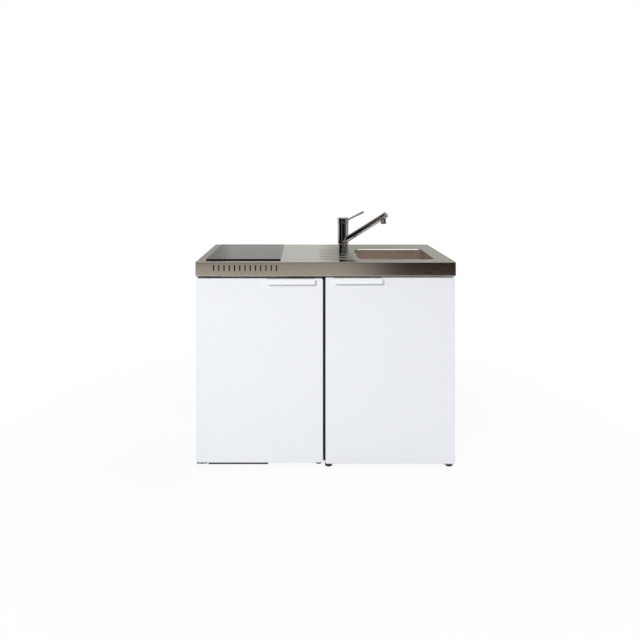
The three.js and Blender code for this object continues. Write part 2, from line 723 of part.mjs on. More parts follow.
// Strip under the door at the compressor's end, bent back under the base plate.
function plinth() {
  const [x0, x1] = [-501, -245];
  const top = BASE_PLATE.z[0] - GAP;
  return join(
    box([x0, x1], [-254, -252], [7, top]),
    box([x0, x1], [-253, -205], [top - 2, top]),
  );
}

place(fridgeUnit, 'fridge_plinth', plinth(), darkPlastic);

// Levelling foot: a tapered pad on a stud that ends just under what it carries.
function foot(x, y, studTop) {
  const { radius, height, stud } = FOOT;
  return revolved([
    [0, 0], [radius - 2, 0], [radius, 3], [radius, height - 4], [radius - 3, height], [stud, height],
    [stud, studTop], [0, studTop],
  ], [x, y], 14);
}

const HINGE_PLATE = { top: [810.6, 813], bottom: [19, BASE_PLATE.z[0] - GAP] };
const FRIDGE_FEET = {
  fridge_foot_front_left: [-532, -222, HINGE_PLATE.bottom[0] - GAP],
  fridge_foot_front_right: [-28, -222, BASE_PLATE.z[0] - GAP],
  fridge_foot_rear_left: [-520, 205, BASE_PLATE.z[0] - GAP],
  fridge_foot_rear_right: [-36, 205, BASE_PLATE.z[0] - GAP],
};
for (const [name, [x, y, top]] of Object.entries(FRIDGE_FEET)) {
  place(fridgeUnit, name, foot(x, y, top), darkPlastic);
}

function fridgeHingeTop() {
  const x = [-548, -502];
  const rear = FRIDGE.y[0] - GAP;
  return join(
    box(x, [-274, rear], HINGE_PLATE.top),
    box(x, [rear - 2, rear], [797, HINGE_PLATE.top[1]]),
    bar('z', [FRIDGE_PIVOT.x, FRIDGE_PIVOT.y], [799, HINGE_PLATE.top[1]], PIN, 20),
  );
}

function fridgeHingeBottom() {
  return join(
    box([-548, -502], [-274, -190], HINGE_PLATE.bottom),
    bar('z', [FRIDGE_PIVOT.x, FRIDGE_PIVOT.y], [HINGE_PLATE.bottom[0], 38], PIN, 20),
  );
}

place(fridgeUnit, 'fridge_hinge_top', fridgeHingeTop(), zinc);
place(fridgeUnit, 'fridge_hinge_bottom', fridgeHingeBottom(), zinc);

// ---------------------------------------------------------------- fridge door

const fridgeDoor = groupAt(fridgeUnit, FRIDGE_PIVOT.x, FRIDGE_PIVOT.y, 0);

// Doors are drawn in the object's frame, then moved to the frame of their hinge.
function placeOnDoor(door, name, solid, material) {
  return place(door, name, solid.translate([-door.position.x, -door.position.y, 0]), material);
}

// Vertical pockets at the top and bottom edge that take the hinge pins.
function pinPockets({ x, y }, [bottom, top], radius, depth) {
  return join(
    bar('z', [x, y], [bottom - 5, bottom + depth], radius, 20),
    bar('z', [x, y], [top - depth, top + 5], radius, 20),
  );
}

const skinBack = FRIDGE_DOOR.y[1] - 2;
const linerPlate = [skinBack + GAP, FRIDGE_DOOR.y[1]];

function fridgeDoorSkin() {
  const { x, y, z, corner, sheet } = FRIDGE_DOOR;
  return cut(
    panel(x, [y[0], skinBack], z, corner),
    panel(grown(x, -sheet), [y[0] + sheet, FAR], grown(z, -sheet), corner - sheet),
    pinPockets(FRIDGE_PIVOT, z, PIN + 0.5, 6),
  );
}

function fridgeDoorFoam() {
  const { x, y, z, corner, sheet } = FRIDGE_DOOR;
  const inset = sheet + GAP;
  return cut(
    panel(grown(x, -inset), [y[0] + inset, skinBack], grown(z, -inset), corner - inset),
    pinPockets(FRIDGE_PIVOT, z, PIN + 1, 14),
  );
}

const RACK = { x: [-488, -93], wall: 2 };
const RACKS = { upper: { z: [470, 540], y: -155 }, lower: { z: [110, 196], y: -150 } };

// Plate that closes the door, with two upright ribs whose ledges carry the racks.
function fridgeDoorLiner() {
  const { x, z, corner } = FRIDGE_DOOR;
  const ribs = [[RACK.x[0] - 12, RACK.x[0] - 1], [RACK.x[1] + 1, RACK.x[1] + 12]].map((rib) =>
    box(rib, [linerPlate[0], -212], [90, 630]));
  const ledges = Object.values(RACKS).flatMap((rack) =>
    [[RACK.x[0] - 2, RACK.x[0] + 6], [RACK.x[1] - 6, RACK.x[1] + 2]].map((ledge) =>
      box(ledge, [linerPlate[0], -214], [rack.z[0] - 6, rack.z[0] - GAP])));
  return join(panel(x, linerPlate, z, corner), ...ribs, ...ledges);
}

function doorRack({ y, z }) {
  const depth = [FRIDGE_DOOR.y[1] + GAP, y];
  const { x, wall } = RACK;
  const inside = slab(grown(x, -wall), grown(depth, -wall), [z[0] + wall, FAR], 6, 1);
  return slab(x, depth, z, 8, 1).subtract(inside);
}

// Magnetic seal round the inside of the door, kept clear of the hinge line.
function gasket() {
  const x = [FRIDGE_PIVOT.x + 3, FRIDGE_DOOR.x[1] - 15];
  const z = [44, 792];
  const y = [FRIDGE_DOOR.y[1] + GAP, FRIDGE.y[0] - GAP];
  return panel(x, y, z, 8, 1).subtract(panel(grown(x, -14), grown(y, 1), grown(z, -14), 4, 1));
}

// Grip bar screwed to a door's front: a channel that is open below for the fingers.
function handle(x, z, doorFront) {
  const wall = 3;
  const front = FRONT + 1;
  const back = doorFront - GAP;
  return cut(
    panel(x, [front, back], z, 5),
    box(grown(x, -wall), [front + wall, back - 2.5], [-FAR, z[1] - wall]),
  );
}

placeOnDoor(fridgeDoor, 'fridge_door_skin', fridgeDoorSkin(), whiteSteel);
placeOnDoor(fridgeDoor, 'fridge_door_foam', fridgeDoorFoam(), foamYellow);
placeOnDoor(fridgeDoor, 'fridge_door_liner', fridgeDoorLiner(), whitePlastic);
placeOnDoor(fridgeDoor, 'fridge_gasket', gasket(), greyPlastic);
placeOnDoor(fridgeDoor, 'door_rack_upper', doorRack(RACKS.upper), clearGlass);
placeOnDoor(fridgeDoor, 'door_rack_lower', doorRack(RACKS.lower), clearGlass);
placeOnDoor(fridgeDoor, 'fridge_handle',
  handle([-250, -45], [785, 808], FRIDGE_DOOR.y[0]), whitePlastic);

// ---------------------------------------------------------------- cupboard

const cupboardUnit = groupAt(kitchenette, 0, 0, 0);
const CUPBOARD_SHELF = { z: [330, 346], y: [-200, 280] };
const SERVICE_HOLE = { x: [60, 480], z: [540, 680] }; // pipes and taps pass here to the wall

// Folded and welded sheet case: flanges round the front and the top, a hole in the back.
function cupboardCase() {
  const { x, y, z, sheet } = CUPBOARD;
  const flange = 18;
  const shell = cut(
    box(x, y, z),
    box(grown(x, -sheet), grown(y, -sheet), grown(z, -sheet)),
    box(grown(x, -flange), [-FAR, y[0] + 2 * sheet], [z[0] + 26, z[1] - 26]),
    box(grown(x, -flange), grown(y, -flange), [z[1] - 2 * sheet, FAR]),
    panel(SERVICE_HOLE.x, [y[1] - 2 * sheet, FAR], SERVICE_HOLE.z, 10, 1),
  );
  const ledges = [[x[0] + sheet / 2, x[0] + 12], [x[1] - 12, x[1] - sheet / 2]].map((ledge) =>
    box(ledge, grown(CUPBOARD_SHELF.y, -10), [CUPBOARD_SHELF.z[0] - 8, CUPBOARD_SHELF.z[0] - GAP]));
  return join(shell, ...ledges);
}

place(cupboardUnit, 'cupboard_case', cupboardCase(), whiteSteel);
place(cupboardUnit, 'cupboard_shelf',
  box(grown(CUPBOARD.x, -CUPBOARD.sheet - 1), CUPBOARD_SHELF.y, CUPBOARD_SHELF.z), melamine);

const CUPBOARD_PLATE = { top: [814.6, 817], bottom: [17.2, CUPBOARD.z[0] - GAP] };

function cupboardHingeTop() {
  const rear = CUPBOARD.y[0] - GAP;
  return join(
    box([500, 546], [-276, rear], CUPBOARD_PLATE.top),
    box([500, 526], [rear - 2, rear], [795, CUPBOARD_PLATE.top[1]]),
    bar('z', [CUPBOARD_PIVOT.x, CUPBOARD_PIVOT.y], [802, CUPBOARD_PLATE.top[1]], PIN - 1, 20),
  );
}

function cupboardHingeBottom() {
  return join(
    box([500, 546], [-276, -215], CUPBOARD_PLATE.bottom),
    bar('z', [CUPBOARD_PIVOT.x, CUPBOARD_PIVOT.y], [CUPBOARD_PLATE.bottom[0], 32], PIN - 1, 20),
  );
}

place(cupboardUnit, 'cupboard_hinge_top', cupboardHingeTop(), zinc);
place(cupboardUnit, 'cupboard_hinge_bottom', cupboardHingeBottom(), zinc);
place(cupboardUnit, 'cupboard_catch',
  box([20, 62], [CUPBOARD_DOOR.y[1] + GAP, CUPBOARD.y[0] - GAP], [799, 809]), darkPlastic);

const CUPBOARD_FEET = {
  cupboard_foot_front_left: [14.5, -247, CUPBOARD.z[0] - GAP],
  cupboard_foot_front_right: [531, -247, CUPBOARD_PLATE.bottom[0] - GAP],
  cupboard_foot_rear_left: [20, 262, CUPBOARD.z[0] - GAP],
  cupboard_foot_rear_right: [525, 262, CUPBOARD.z[0] - GAP],
};
for (const [name, [x, y, top]] of Object.entries(CUPBOARD_FEET)) {
  place(cupboardUnit, name, foot(x, y, top), darkPlastic);
}

const cupboardDoor = groupAt(cupboardUnit, CUPBOARD_PIVOT.x, CUPBOARD_PIVOT.y, 0);

// Steel pan, open at the back, over a board that fills it and shows as the door's inside.
function cupboardDoorSkin() {
  const { x, y, z, corner, sheet } = CUPBOARD_DOOR;
  return cut(
    panel(x, y, z, corner),
    panel(grown(x, -sheet), [y[0] + sheet, FAR], grown(z, -sheet), corner - sheet),
    pinPockets(CUPBOARD_PIVOT, z, PIN - 0.5, 4),
  );
}

function cupboardDoorCore() {
  const { x, y, z, corner, sheet } = CUPBOARD_DOOR;
  const inset = sheet + GAP;
  return cut(
    panel(grown(x, -inset), [y[0] + inset, y[1]], grown(z, -inset), corner - inset),
    pinPockets(CUPBOARD_PIVOT, z, PIN - 0.5, 13),
  );
}

placeOnDoor(cupboardDoor, 'cupboard_door_skin', cupboardDoorSkin(), whiteSteel);
placeOnDoor(cupboardDoor, 'cupboard_door_core', cupboardDoorCore(), melamine);
placeOnDoor(cupboardDoor, 'cupboard_handle',
  handle([35, 240], [788, 811], CUPBOARD_DOOR.y[0]), whitePlastic);

export default kitchenette;
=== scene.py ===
"""Kitchenette unit: fridge and cupboard under a folded stainless worktop with hob, drainer, bowl and tap.

Blender works in metres in the frame's own axes: X right, Y back, Z up, floor at 0.
A number times MM was written in millimetres, and the helpers that say so take plain millimetres.
"""
import json
import math

import bmesh
import bpy
from mathutils import Matrix, Vector

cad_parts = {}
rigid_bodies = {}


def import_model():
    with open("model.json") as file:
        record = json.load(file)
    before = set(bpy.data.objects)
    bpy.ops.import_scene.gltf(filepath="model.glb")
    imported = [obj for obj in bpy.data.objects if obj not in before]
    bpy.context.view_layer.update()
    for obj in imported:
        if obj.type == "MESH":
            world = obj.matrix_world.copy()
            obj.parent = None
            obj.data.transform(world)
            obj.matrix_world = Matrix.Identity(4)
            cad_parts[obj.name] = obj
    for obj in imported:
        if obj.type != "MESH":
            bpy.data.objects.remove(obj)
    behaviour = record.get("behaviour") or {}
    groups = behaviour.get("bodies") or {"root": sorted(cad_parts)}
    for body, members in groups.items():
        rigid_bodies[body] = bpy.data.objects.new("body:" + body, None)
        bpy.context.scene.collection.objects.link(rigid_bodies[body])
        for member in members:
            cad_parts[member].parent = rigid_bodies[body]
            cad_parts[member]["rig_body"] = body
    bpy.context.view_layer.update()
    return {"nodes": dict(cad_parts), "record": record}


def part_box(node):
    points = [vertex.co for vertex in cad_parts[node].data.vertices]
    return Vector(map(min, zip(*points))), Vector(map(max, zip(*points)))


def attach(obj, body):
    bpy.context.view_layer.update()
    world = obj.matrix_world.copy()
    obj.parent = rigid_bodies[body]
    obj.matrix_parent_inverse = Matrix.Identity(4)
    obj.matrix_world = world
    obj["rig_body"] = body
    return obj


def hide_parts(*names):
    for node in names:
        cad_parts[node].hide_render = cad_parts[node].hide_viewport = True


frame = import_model()

MM = 0.001
CREASE = 32  # degrees between two faces from which their edge shows as a crease
SAME_POINT = 1e-6  # metres within which two points are one

# ---------------------------------------------------------------- materials


def linear(colour):
    """An sRGB hex colour as linear RGBA."""
    shares = [int(colour[i:i + 2], 16) / 255 for i in (1, 3, 5)]
    return [s / 12.92 if s <= 0.04045 else ((s + 0.055) / 1.055) ** 2.4 for s in shares] + [1.0]


def add(tree, kind, inputs=None, **settings):
    """Adds a shader node. An input is a value, or another node's socket to link from."""
    made = tree.nodes.new("ShaderNode" + kind)
    for key, value in settings.items():
        setattr(made, key, value)
    for key, value in (inputs or {}).items():
        if isinstance(value, bpy.types.NodeSocket):
            tree.links.new(value, made.inputs[key])
        else:
            made.inputs[key].default_value = value
    return made


def start(name, colour, roughness, **sockets):
    """A material with one Principled shader; its plain values sit on the shader's own sockets."""
    material = bpy.data.materials.new(name)
    material.use_nodes = True
    shader = material.node_tree.nodes["Principled BSDF"]
    shader.inputs["Base Color"].default_value = linear(colour)
    shader.inputs["Roughness"].default_value = roughness
    for key, value in sockets.items():
        shader.inputs[key.replace("_", " ")].default_value = value
    return material, material.node_tree, shader


def grain(tree, stretch, scale, detail=3.0):
    """Noise on Object coordinates: scale is features a metre, stretch their length along each axis."""
    place = add(tree, "TexCoord").outputs["Object"]
    mapped = add(tree, "Mapping", {"Vector": place, "Scale": [1 / s for s in stretch]})
    return add(tree, "TexNoise", {"Vector": mapped.outputs["Vector"], "Scale": scale, "Detail": detail})


def vary(tree, shader, noise, colours=None, roughness=None, bump=None):
    """Lets a noise move a shader's colour, roughness and surface; bump is (strength, millimetres)."""
    height = noise.outputs["Fac"]
    if colours:
        blend = add(tree, "Mix", {0: height, 6: linear(colours[0]), 7: linear(colours[1])},
                    data_type="RGBA")
        tree.links.new(blend.outputs[2], shader.inputs["Base Color"])
    if roughness:
        spread = add(tree, "MapRange", {"Value": height, "From Min": 0.3, "From Max": 0.7,
                                        "To Min": roughness[0], "To Max": roughness[1]})
        tree.links.new(spread.outputs["Result"], shader.inputs["Roughness"])
    if bump:
        relief = add(tree, "Bump", {"Height": height, "Strength": bump[0], "Distance": bump[1] * MM})
        tree.links.new(relief.outputs["Normal"], shader.inputs["Normal"])


def brushed_stainless():
    # 1.4301 sheet, ground fine along X: long scratches blur what it mirrors a little, up and down
    material, tree, shader = start("brushed_stainless", "#c2beb7", 0.13, Metallic=1.0)
    vary(tree, shader, grain(tree, (60, 1, 1), 900), ("#bdb9b1", "#c8c5bf"), (0.09, 0.16), (0.12, 0.03))
    return material


def pressed_stainless():
    # deep-drawn bowl sheet, satin: soft and without direction, so its walls look even; its base is paler
    # than real stainless and than the worktop's steel, a painted brightness that stands in for light the
    # bowl's walls don't get
    material, tree, shader = start("pressed_stainless", "#ece2db", 0.36, Metallic=1.0)
    vary(tree, shader, grain(tree, (3, 3, 3), 300), ("#e6dbd3", "#f1e8e2"), (0.31, 0.41), (0.05, 0.03))
    return material


def polished_chrome():
    # electroplated brass, mirror bright, with faint wiping marks
    material, tree, shader = start("polished_chrome", "#c6c7c9", 0.06, Metallic=1.0)
    vary(tree, shader, grain(tree, (1, 1, 4), 90), None, (0.035, 0.09))
    return material


def galvanised_steel():
    # hot-dipped zinc: a patchwork of paler and darker spangles 6 mm across
    material, tree, shader = start("galvanised_steel", "#aeb1b3", 0.42, Metallic=1.0)
    place = add(tree, "TexCoord").outputs["Object"]
    spangle = add(tree, "TexVoronoi", {"Vector": place, "Scale": 160.0})
    blend = add(tree, "Mix", {0: spangle.outputs["Color"], 6: linear("#9fa3a6"), 7: linear("#bcbfc1")},
                data_type="RGBA")
    tree.links.new(blend.outputs[2], shader.inputs["Base Color"])
    return material


def hob_ceramic():
    # glass ceramic, black in the mass, smooth as a mirror; printed rings show where the pans go
    black, ink, half_line = "#0c0d0f", "#6d6f72", 0.7 * MM
    material, tree, shader = start("hob_ceramic", black, 0.06, IOR=1.52)
    vary(tree, shader, grain(tree, (1, 1, 1), 25), None, (0.045, 0.075))
    place = add(tree, "SeparateXYZ", {"Vector": add(tree, "TexCoord").outputs["Object"]})
    flat = add(tree, "CombineXYZ", {"X": place.outputs["X"], "Y": place.outputs["Y"]}).outputs[0]
    printed = 0
    for x, y, radius in HOB_PRINT:
        away = add(tree, "VectorMath", {0: flat, 1: (x * MM, y * MM, 0)}, operation="DISTANCE")
        ring = add(tree, "Math", {0: away.outputs["Value"], 1: radius * MM, 2: half_line},
                   operation="COMPARE")
        printed = add(tree, "Math", {0: printed, 1: ring.outputs[0]}, operation="MAXIMUM").outputs[0]
    blend = add(tree, "Mix", {0: printed, 6: linear(black), 7: linear(ink)}, data_type="RGBA")
    tree.links.new(blend.outputs[2], shader.inputs["Base Color"])
    return material


def enamelled_steel(name, colours, roughness):
    # stoved paint on sheet: even, with the faint orange peel of a sprayed coat
    material, tree, shader = start(name, colours[0], roughness, IOR=1.5)
    vary(tree, shader, grain(tree, (1, 1, 1), 380, 2.0), colours, (roughness - 0.03, roughness + 0.03),
         (0.08, 0.02))
    return material


def moulded_plastic(name, colours, roughness):
    # injection-moulded ABS or polystyrene: matt, with a fine spark-eroded skin
    material, tree, shader = start(name, colours[0], roughness, IOR=1.53)
    vary(tree, shader, grain(tree, (1, 1, 1), 1400, 2.0), colours, (roughness - 0.05, roughness + 0.05),
         (0.15, 0.02))
    return material


def clear_sheet(name, colour, roughness, ior):
    # safety glass or polystyrene: clear, a little tinted where it is looked along
    material, tree, shader = start(name, colour, roughness, IOR=ior, Transmission_Weight=1.0)
    vary(tree, shader, grain(tree, (1, 1, 1), 60), None, (roughness, roughness + 0.05))
    return material


def rigid_foam():
    # cut polyurethane: yellowish and rough, with open cells 1 mm across
    material, tree, shader = start("rigid_foam", "#e2d6a6", 0.9)
    vary(tree, shader, grain(tree, (1, 1, 1), 900), ("#cfc18c", "#eee3ba"), None, (0.6, 0.5))
    return material


def mineral_dish():
    # pressed microporous heater board: dull and fibrous
    material, tree, shader = start("mineral_dish", "#8b8478", 0.95)
    vary(tree, shader, grain(tree, (1, 1, 1), 500), ("#77705f", "#9c968a"), None, (0.5, 0.3))
    return material


def brushed_aluminium():
    # rolled evaporator sheet: pale, with rolling lines along X
    material, tree, shader = start("brushed_aluminium", "#cdd0d2", 0.36, Metallic=1.0)
    vary(tree, shader, grain(tree, (40, 1, 1), 700), ("#c4c7c9", "#d6d9db"), (0.3, 0.42), (0.2, 0.04))
    return material


# printed circles on the hob as (x, y, radius) in millimetres: two double rings and four touch dots
HOB_PRINT = [(-352.5, -100, 72.5), (-352.5, -100, 66), (-352.5, 110, 90), (-352.5, 110, 83)]
HOB_PRINT += [(-412.5 + 40 * i, -205, 6) for i in range(4)]

# the finish of each of the record's material slots
FINISHES = {
    "stainless": brushed_stainless(),
    "chrome": polished_chrome(),
    "galvanised": galvanised_steel(),
    "black_glass": hob_ceramic(),
    "heater": mineral_dish(),
    "white_steel": enamelled_steel("white_enamel", ("#eff1f4", "#f3f5f7"), 0.33),
    "white_plastic": moulded_plastic("white_polystyrene", ("#eeeeec", "#f4f4f2"), 0.4),
    "handle_white": moulded_plastic("white_abs", ("#f4f4f4", "#f8f8f8"), 0.36),
    "grey_plastic": moulded_plastic("grey_abs", ("#84888c", "#90949a"), 0.5),
    "dark_plastic": moulded_plastic("black_polyamide", ("#1c1d1f", "#2a2b2d"), 0.6),
    "black_steel": enamelled_steel("black_stoving_paint", ("#1b1c1e", "#26282a"), 0.45),
    "shelf_glass": clear_sheet("safety_glass", "#dff0ea", 0.02, 1.52),
    "clear_plastic": clear_sheet("clear_polystyrene", "#eef3f4", 0.06, 1.59),
    "aluminium": brushed_aluminium(),
    "foam": rigid_foam(),
    "gasket": moulded_plastic("soft_pvc", ("#e3e4e4", "#ececec"), 0.6),
    "melamine": moulded_plastic("melamine_board", ("#e9e9e6", "#f0f0ee"), 0.5),
}
BOWL_STEEL = pressed_stainless()

SLOT_OF = {s["node"]: s["material_slot"] for s in frame["record"]["subparts"]}
for name, thing in frame["nodes"].items():
    thing.data.materials.clear()
    thing.data.materials.append(FINISHES[SLOT_OF[name]])

# ---------------------------------------------------------------- making pieces


def finished(bm, name, nodes, material=None, sharp=CREASE, added=False):
    """Turns a bmesh into a piece that rides with CAD nodes, and replaces them unless it is added."""
    mesh = bpy.data.meshes.new(name)
    bm.to_mesh(mesh)
    bm.free()
    piece = bpy.data.objects.new(name, mesh)
    bpy.context.scene.collection.objects.link(piece)
    mesh.materials.append(material or FINISHES[SLOT_OF[nodes[0]]])
    mesh.shade_smooth()
    mesh.set_sharp_from_angle(angle=math.radians(sharp))
    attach(piece, frame["nodes"][nodes[0]]["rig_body"])
    if not added:
        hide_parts(*nodes)
    return piece


def apply_modifiers(piece):
    """Bakes a piece's modifiers into its mesh."""
    evaluated = piece.evaluated_get(bpy.context.evaluated_depsgraph_get())
    made = bpy.data.meshes.new_from_object(evaluated)
    piece.modifiers.clear()
    old = piece.data
    piece.data = made
    bpy.data.meshes.remove(old)


def combine(piece, bm, operation):
    """Joins another closed shape to a piece, or cuts it out."""
    mesh = bpy.data.meshes.new("tool")
    bm.to_mesh(mesh)
    bm.free()
    tool = bpy.data.objects.new("tool", mesh)
    bpy.context.scene.collection.objects.link(tool)
    step = piece.modifiers.new("combine", "BOOLEAN")
    step.operation, step.object, step.solver = operation, tool, "EXACT"
    apply_modifiers(piece)
    bpy.data.objects.remove(tool)
    bpy.data.meshes.remove(mesh)
    piece.data.shade_smooth()
    piece.data.set_sharp_from_angle(angle=math.radians(CREASE))


def thicken(piece, thickness):
    """Gives a skin its sheet thickness, inwards from the face that is seen."""
    wall = piece.modifiers.new("sheet", "SOLIDIFY")
    wall.thickness, wall.offset, wall.use_even_offset = thickness, -1, True
    apply_modifiers(piece)
    piece.data.set_sharp_from_angle(angle=math.radians(CREASE))


def points_of(made):
    """The vertices in what a bmesh operator returns."""
    return [g for g in made["geom"] if isinstance(g, bmesh.types.BMVert)]


def faced(bm, direction):
    """Makes an open skin's normals agree, and turns its large faces to look in a direction."""
    bmesh.ops.recalc_face_normals(bm, faces=bm.faces)
    if sum(f.normal.dot(Vector(direction)) * f.calc_area() for f in bm.faces) < 0:
        bmesh.ops.reverse_faces(bm, faces=bm.faces)


def rounded_plate(bm, x, y, z, radius, segments=8):
    """A flat face with round corners. Returns its outline's edges; the face itself is taken out."""
    made = bmesh.ops.create_grid(bm, x_segments=1, y_segments=1, size=0.5)["verts"]
    bmesh.ops.scale(bm, vec=(x[1] - x[0], y[1] - y[0], 1), verts=made)
    bmesh.ops.translate(bm, vec=(sum(x) / 2, sum(y) / 2, z), verts=made)
    before = set(bm.faces) - set(made[0].link_faces)
    bmesh.ops.bevel(bm, geom=made, offset=radius, offset_type="OFFSET", segments=segments,
                    profile=0.5, affect="VERTICES", material=-1)
    face = next(f for f in bm.faces if f not in before and len(f.verts) > 4)
    edges = list(face.edges)
    bmesh.ops.delete(bm, geom=[face], context="FACES_ONLY")
    return edges


def flow(bm, edges, core, steps):
    """Extrudes a closed outline step by step; a step is (outwards from the core rectangle, up)."""
    (x0, x1), (y0, y1) = core
    for outwards, up in steps:
        verts = set(points_of(bmesh.ops.extrude_edge_only(bm, edges=edges)))
        for v in verts:
            inner = Vector((min(max(v.co.x, x0), x1), min(max(v.co.y, y0), y1)))
            away = (v.co.xy - inner).normalized() * outwards
            v.co += Vector((away.x, away.y, up))
        edges = [e for e in bm.edges if e.verts[0] in verts and e.verts[1] in verts]
    return edges


def corner_round(corner, radius, from_angle, to_angle, count=4):
    """Points of an arc about corner, with angles in degrees."""
    angles = [math.radians(from_angle + (to_angle - from_angle) * i / count) for i in range(count + 1)]
    return [(corner[0] + radius * math.cos(a), corner[1] + radius * math.sin(a)) for a in angles]


def arc(radius, from_angle, to_angle, count):
    """Steps of a quarter or smaller arc, as moves (outwards, up) from one point to the next."""
    points = corner_round((0, 0), radius, from_angle, to_angle, count)
    return [(b[0] - a[0], b[1] - a[1]) for a, b in zip(points, points[1:])]


def core_of(x, y, radius):
    """The rectangle between the centres of a round-cornered outline's four arcs."""
    return grown(x, -radius), grown(y, -radius)


def grown(span, by):
    return span[0] - by, span[1] + by


def shift(x=0, y=0, z=0):
    """A move, in millimetres."""
    return Matrix.Translation((x * MM, y * MM, z * MM))


def turn(degrees, axis):
    return Matrix.Rotation(math.radians(degrees), 4, axis)


UPRIGHT = turn(90, "X")  # (x, y, z) to (x, -z, y): what was up faces the front


def moved(bm, matrix):
    bmesh.ops.transform(bm, matrix=matrix, verts=bm.verts)
    return bm


def turned(profile, steps=72, closed=False):
    """A closed shape turned about Z from (radius, height) points in millimetres.

    An open profile starts and ends on the axis. A closed one stays clear of it, and makes a ring.
    """
    bm = bmesh.new()
    verts = [bm.verts.new((r * MM, 0, z * MM)) for r, z in profile]
    chain = [bm.edges.new(pair) for pair in zip(verts, verts[1:] + verts[:closed])]
    bmesh.ops.spin(bm, geom=verts + chain, cent=(0, 0, 0), axis=(0, 0, 1), dvec=(0, 0, 0),
                   angle=2 * math.pi, steps=steps, use_merge=True)
    bmesh.ops.remove_doubles(bm, verts=bm.verts, dist=SAME_POINT)
    bmesh.ops.recalc_face_normals(bm, faces=bm.faces)
    return bm


def bar(radius, length, place, segments=32, into=None):
    """A closed round bar along its own Z, in millimetres."""
    bm = bmesh.new() if into is None else into
    bmesh.ops.create_cone(bm, cap_ends=True, segments=segments, radius1=radius * MM,
                          radius2=radius * MM, depth=length * MM, matrix=place)
    return bm


def block(size, place, edge=0.0):
    """A closed box, in millimetres, with its edges rounded where edge says so."""
    bm = bmesh.new()
    bmesh.ops.create_cube(bm, size=1, matrix=place @ Matrix.Diagonal((*(c * MM for c in size), 1)))
    if edge:
        bmesh.ops.bevel(bm, geom=list(bm.edges), offset=edge * MM, segments=3, profile=0.5,
                        affect="EDGES", material=-1)
    return bm


def softened(node, width, segments=2, material=None):
    """A CAD node with its edges rounded, width in millimetres.

    It is a merged copy of the node's mesh, bevelled where that turns sharply.
    """
    nearly_flat, sharply = math.radians(0.6), math.radians(30)
    bm = bmesh.new()
    bm.from_mesh(frame["nodes"][node].data)
    bmesh.ops.remove_doubles(bm, verts=bm.verts, dist=2 * SAME_POINT)
    bmesh.ops.dissolve_limit(bm, angle_limit=nearly_flat, verts=bm.verts, edges=bm.edges)
    piece = finished(bm, node + "_piece", [node], material)
    edge = piece.modifiers.new("edges", "BEVEL")
    edge.width, edge.segments, edge.limit_method = width * MM, segments, "ANGLE"
    edge.angle_limit, edge.harden_normals = sharply, True
    edge.use_clamp_overlap = True
    apply_modifiers(piece)
    return piece


# ---------------------------------------------------------------- worktop

worktop_low, worktop_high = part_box("worktop")
glass_low, glass_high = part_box("hob_glass")
TOP = worktop_high.z
SPAN_X, SPAN_Y = (worktop_low.x, worktop_high.x), (worktop_low.y, worktop_high.y)
WORKTOP_SHEET = 1.5 * MM
BOWL = {"x": (151 * MM, 484 * MM), "y": (-217 * MM, 113 * MM), "corner": 38 * MM, "depth": 150 * MM}
BOWL_SHEET = 1.2 * MM
DRAIN = Vector((330 * MM, -50 * MM))
TAP = Vector((102 * MM, 142 * MM))
TAP_HOLE = 17.5 * MM
GROOVES = {"y": [(-205 + 72 * i) * MM for i in range(5)], "x": (-9 * MM, 117 * MM),
           "half_width": 13 * MM, "depth": 3 * MM}
DRAINER_FIELD = {"x": (-34 * MM, 142 * MM), "y": (-222 * MM, 112 * MM)}
VENTS = {"x": [(-472.1 + 22.07 * i) * MM for i in range(13)], "half_width": 2.6 * MM,
         "z": (TOP - 38.4 * MM, TOP - 12.4 * MM)}


def press_depth(x, y):
    """How deep the drainer is pressed at a place: grooves with round ends and soft sides."""
    along = max(GROOVES["x"][0] - x, 0, x - GROOVES["x"][1])
    away = min(math.hypot(y - groove, along) for groove in GROOVES["y"])
    return 0.5 * GROOVES["depth"] * (1 + math.cos(math.pi * min(away / GROOVES["half_width"], 1)))


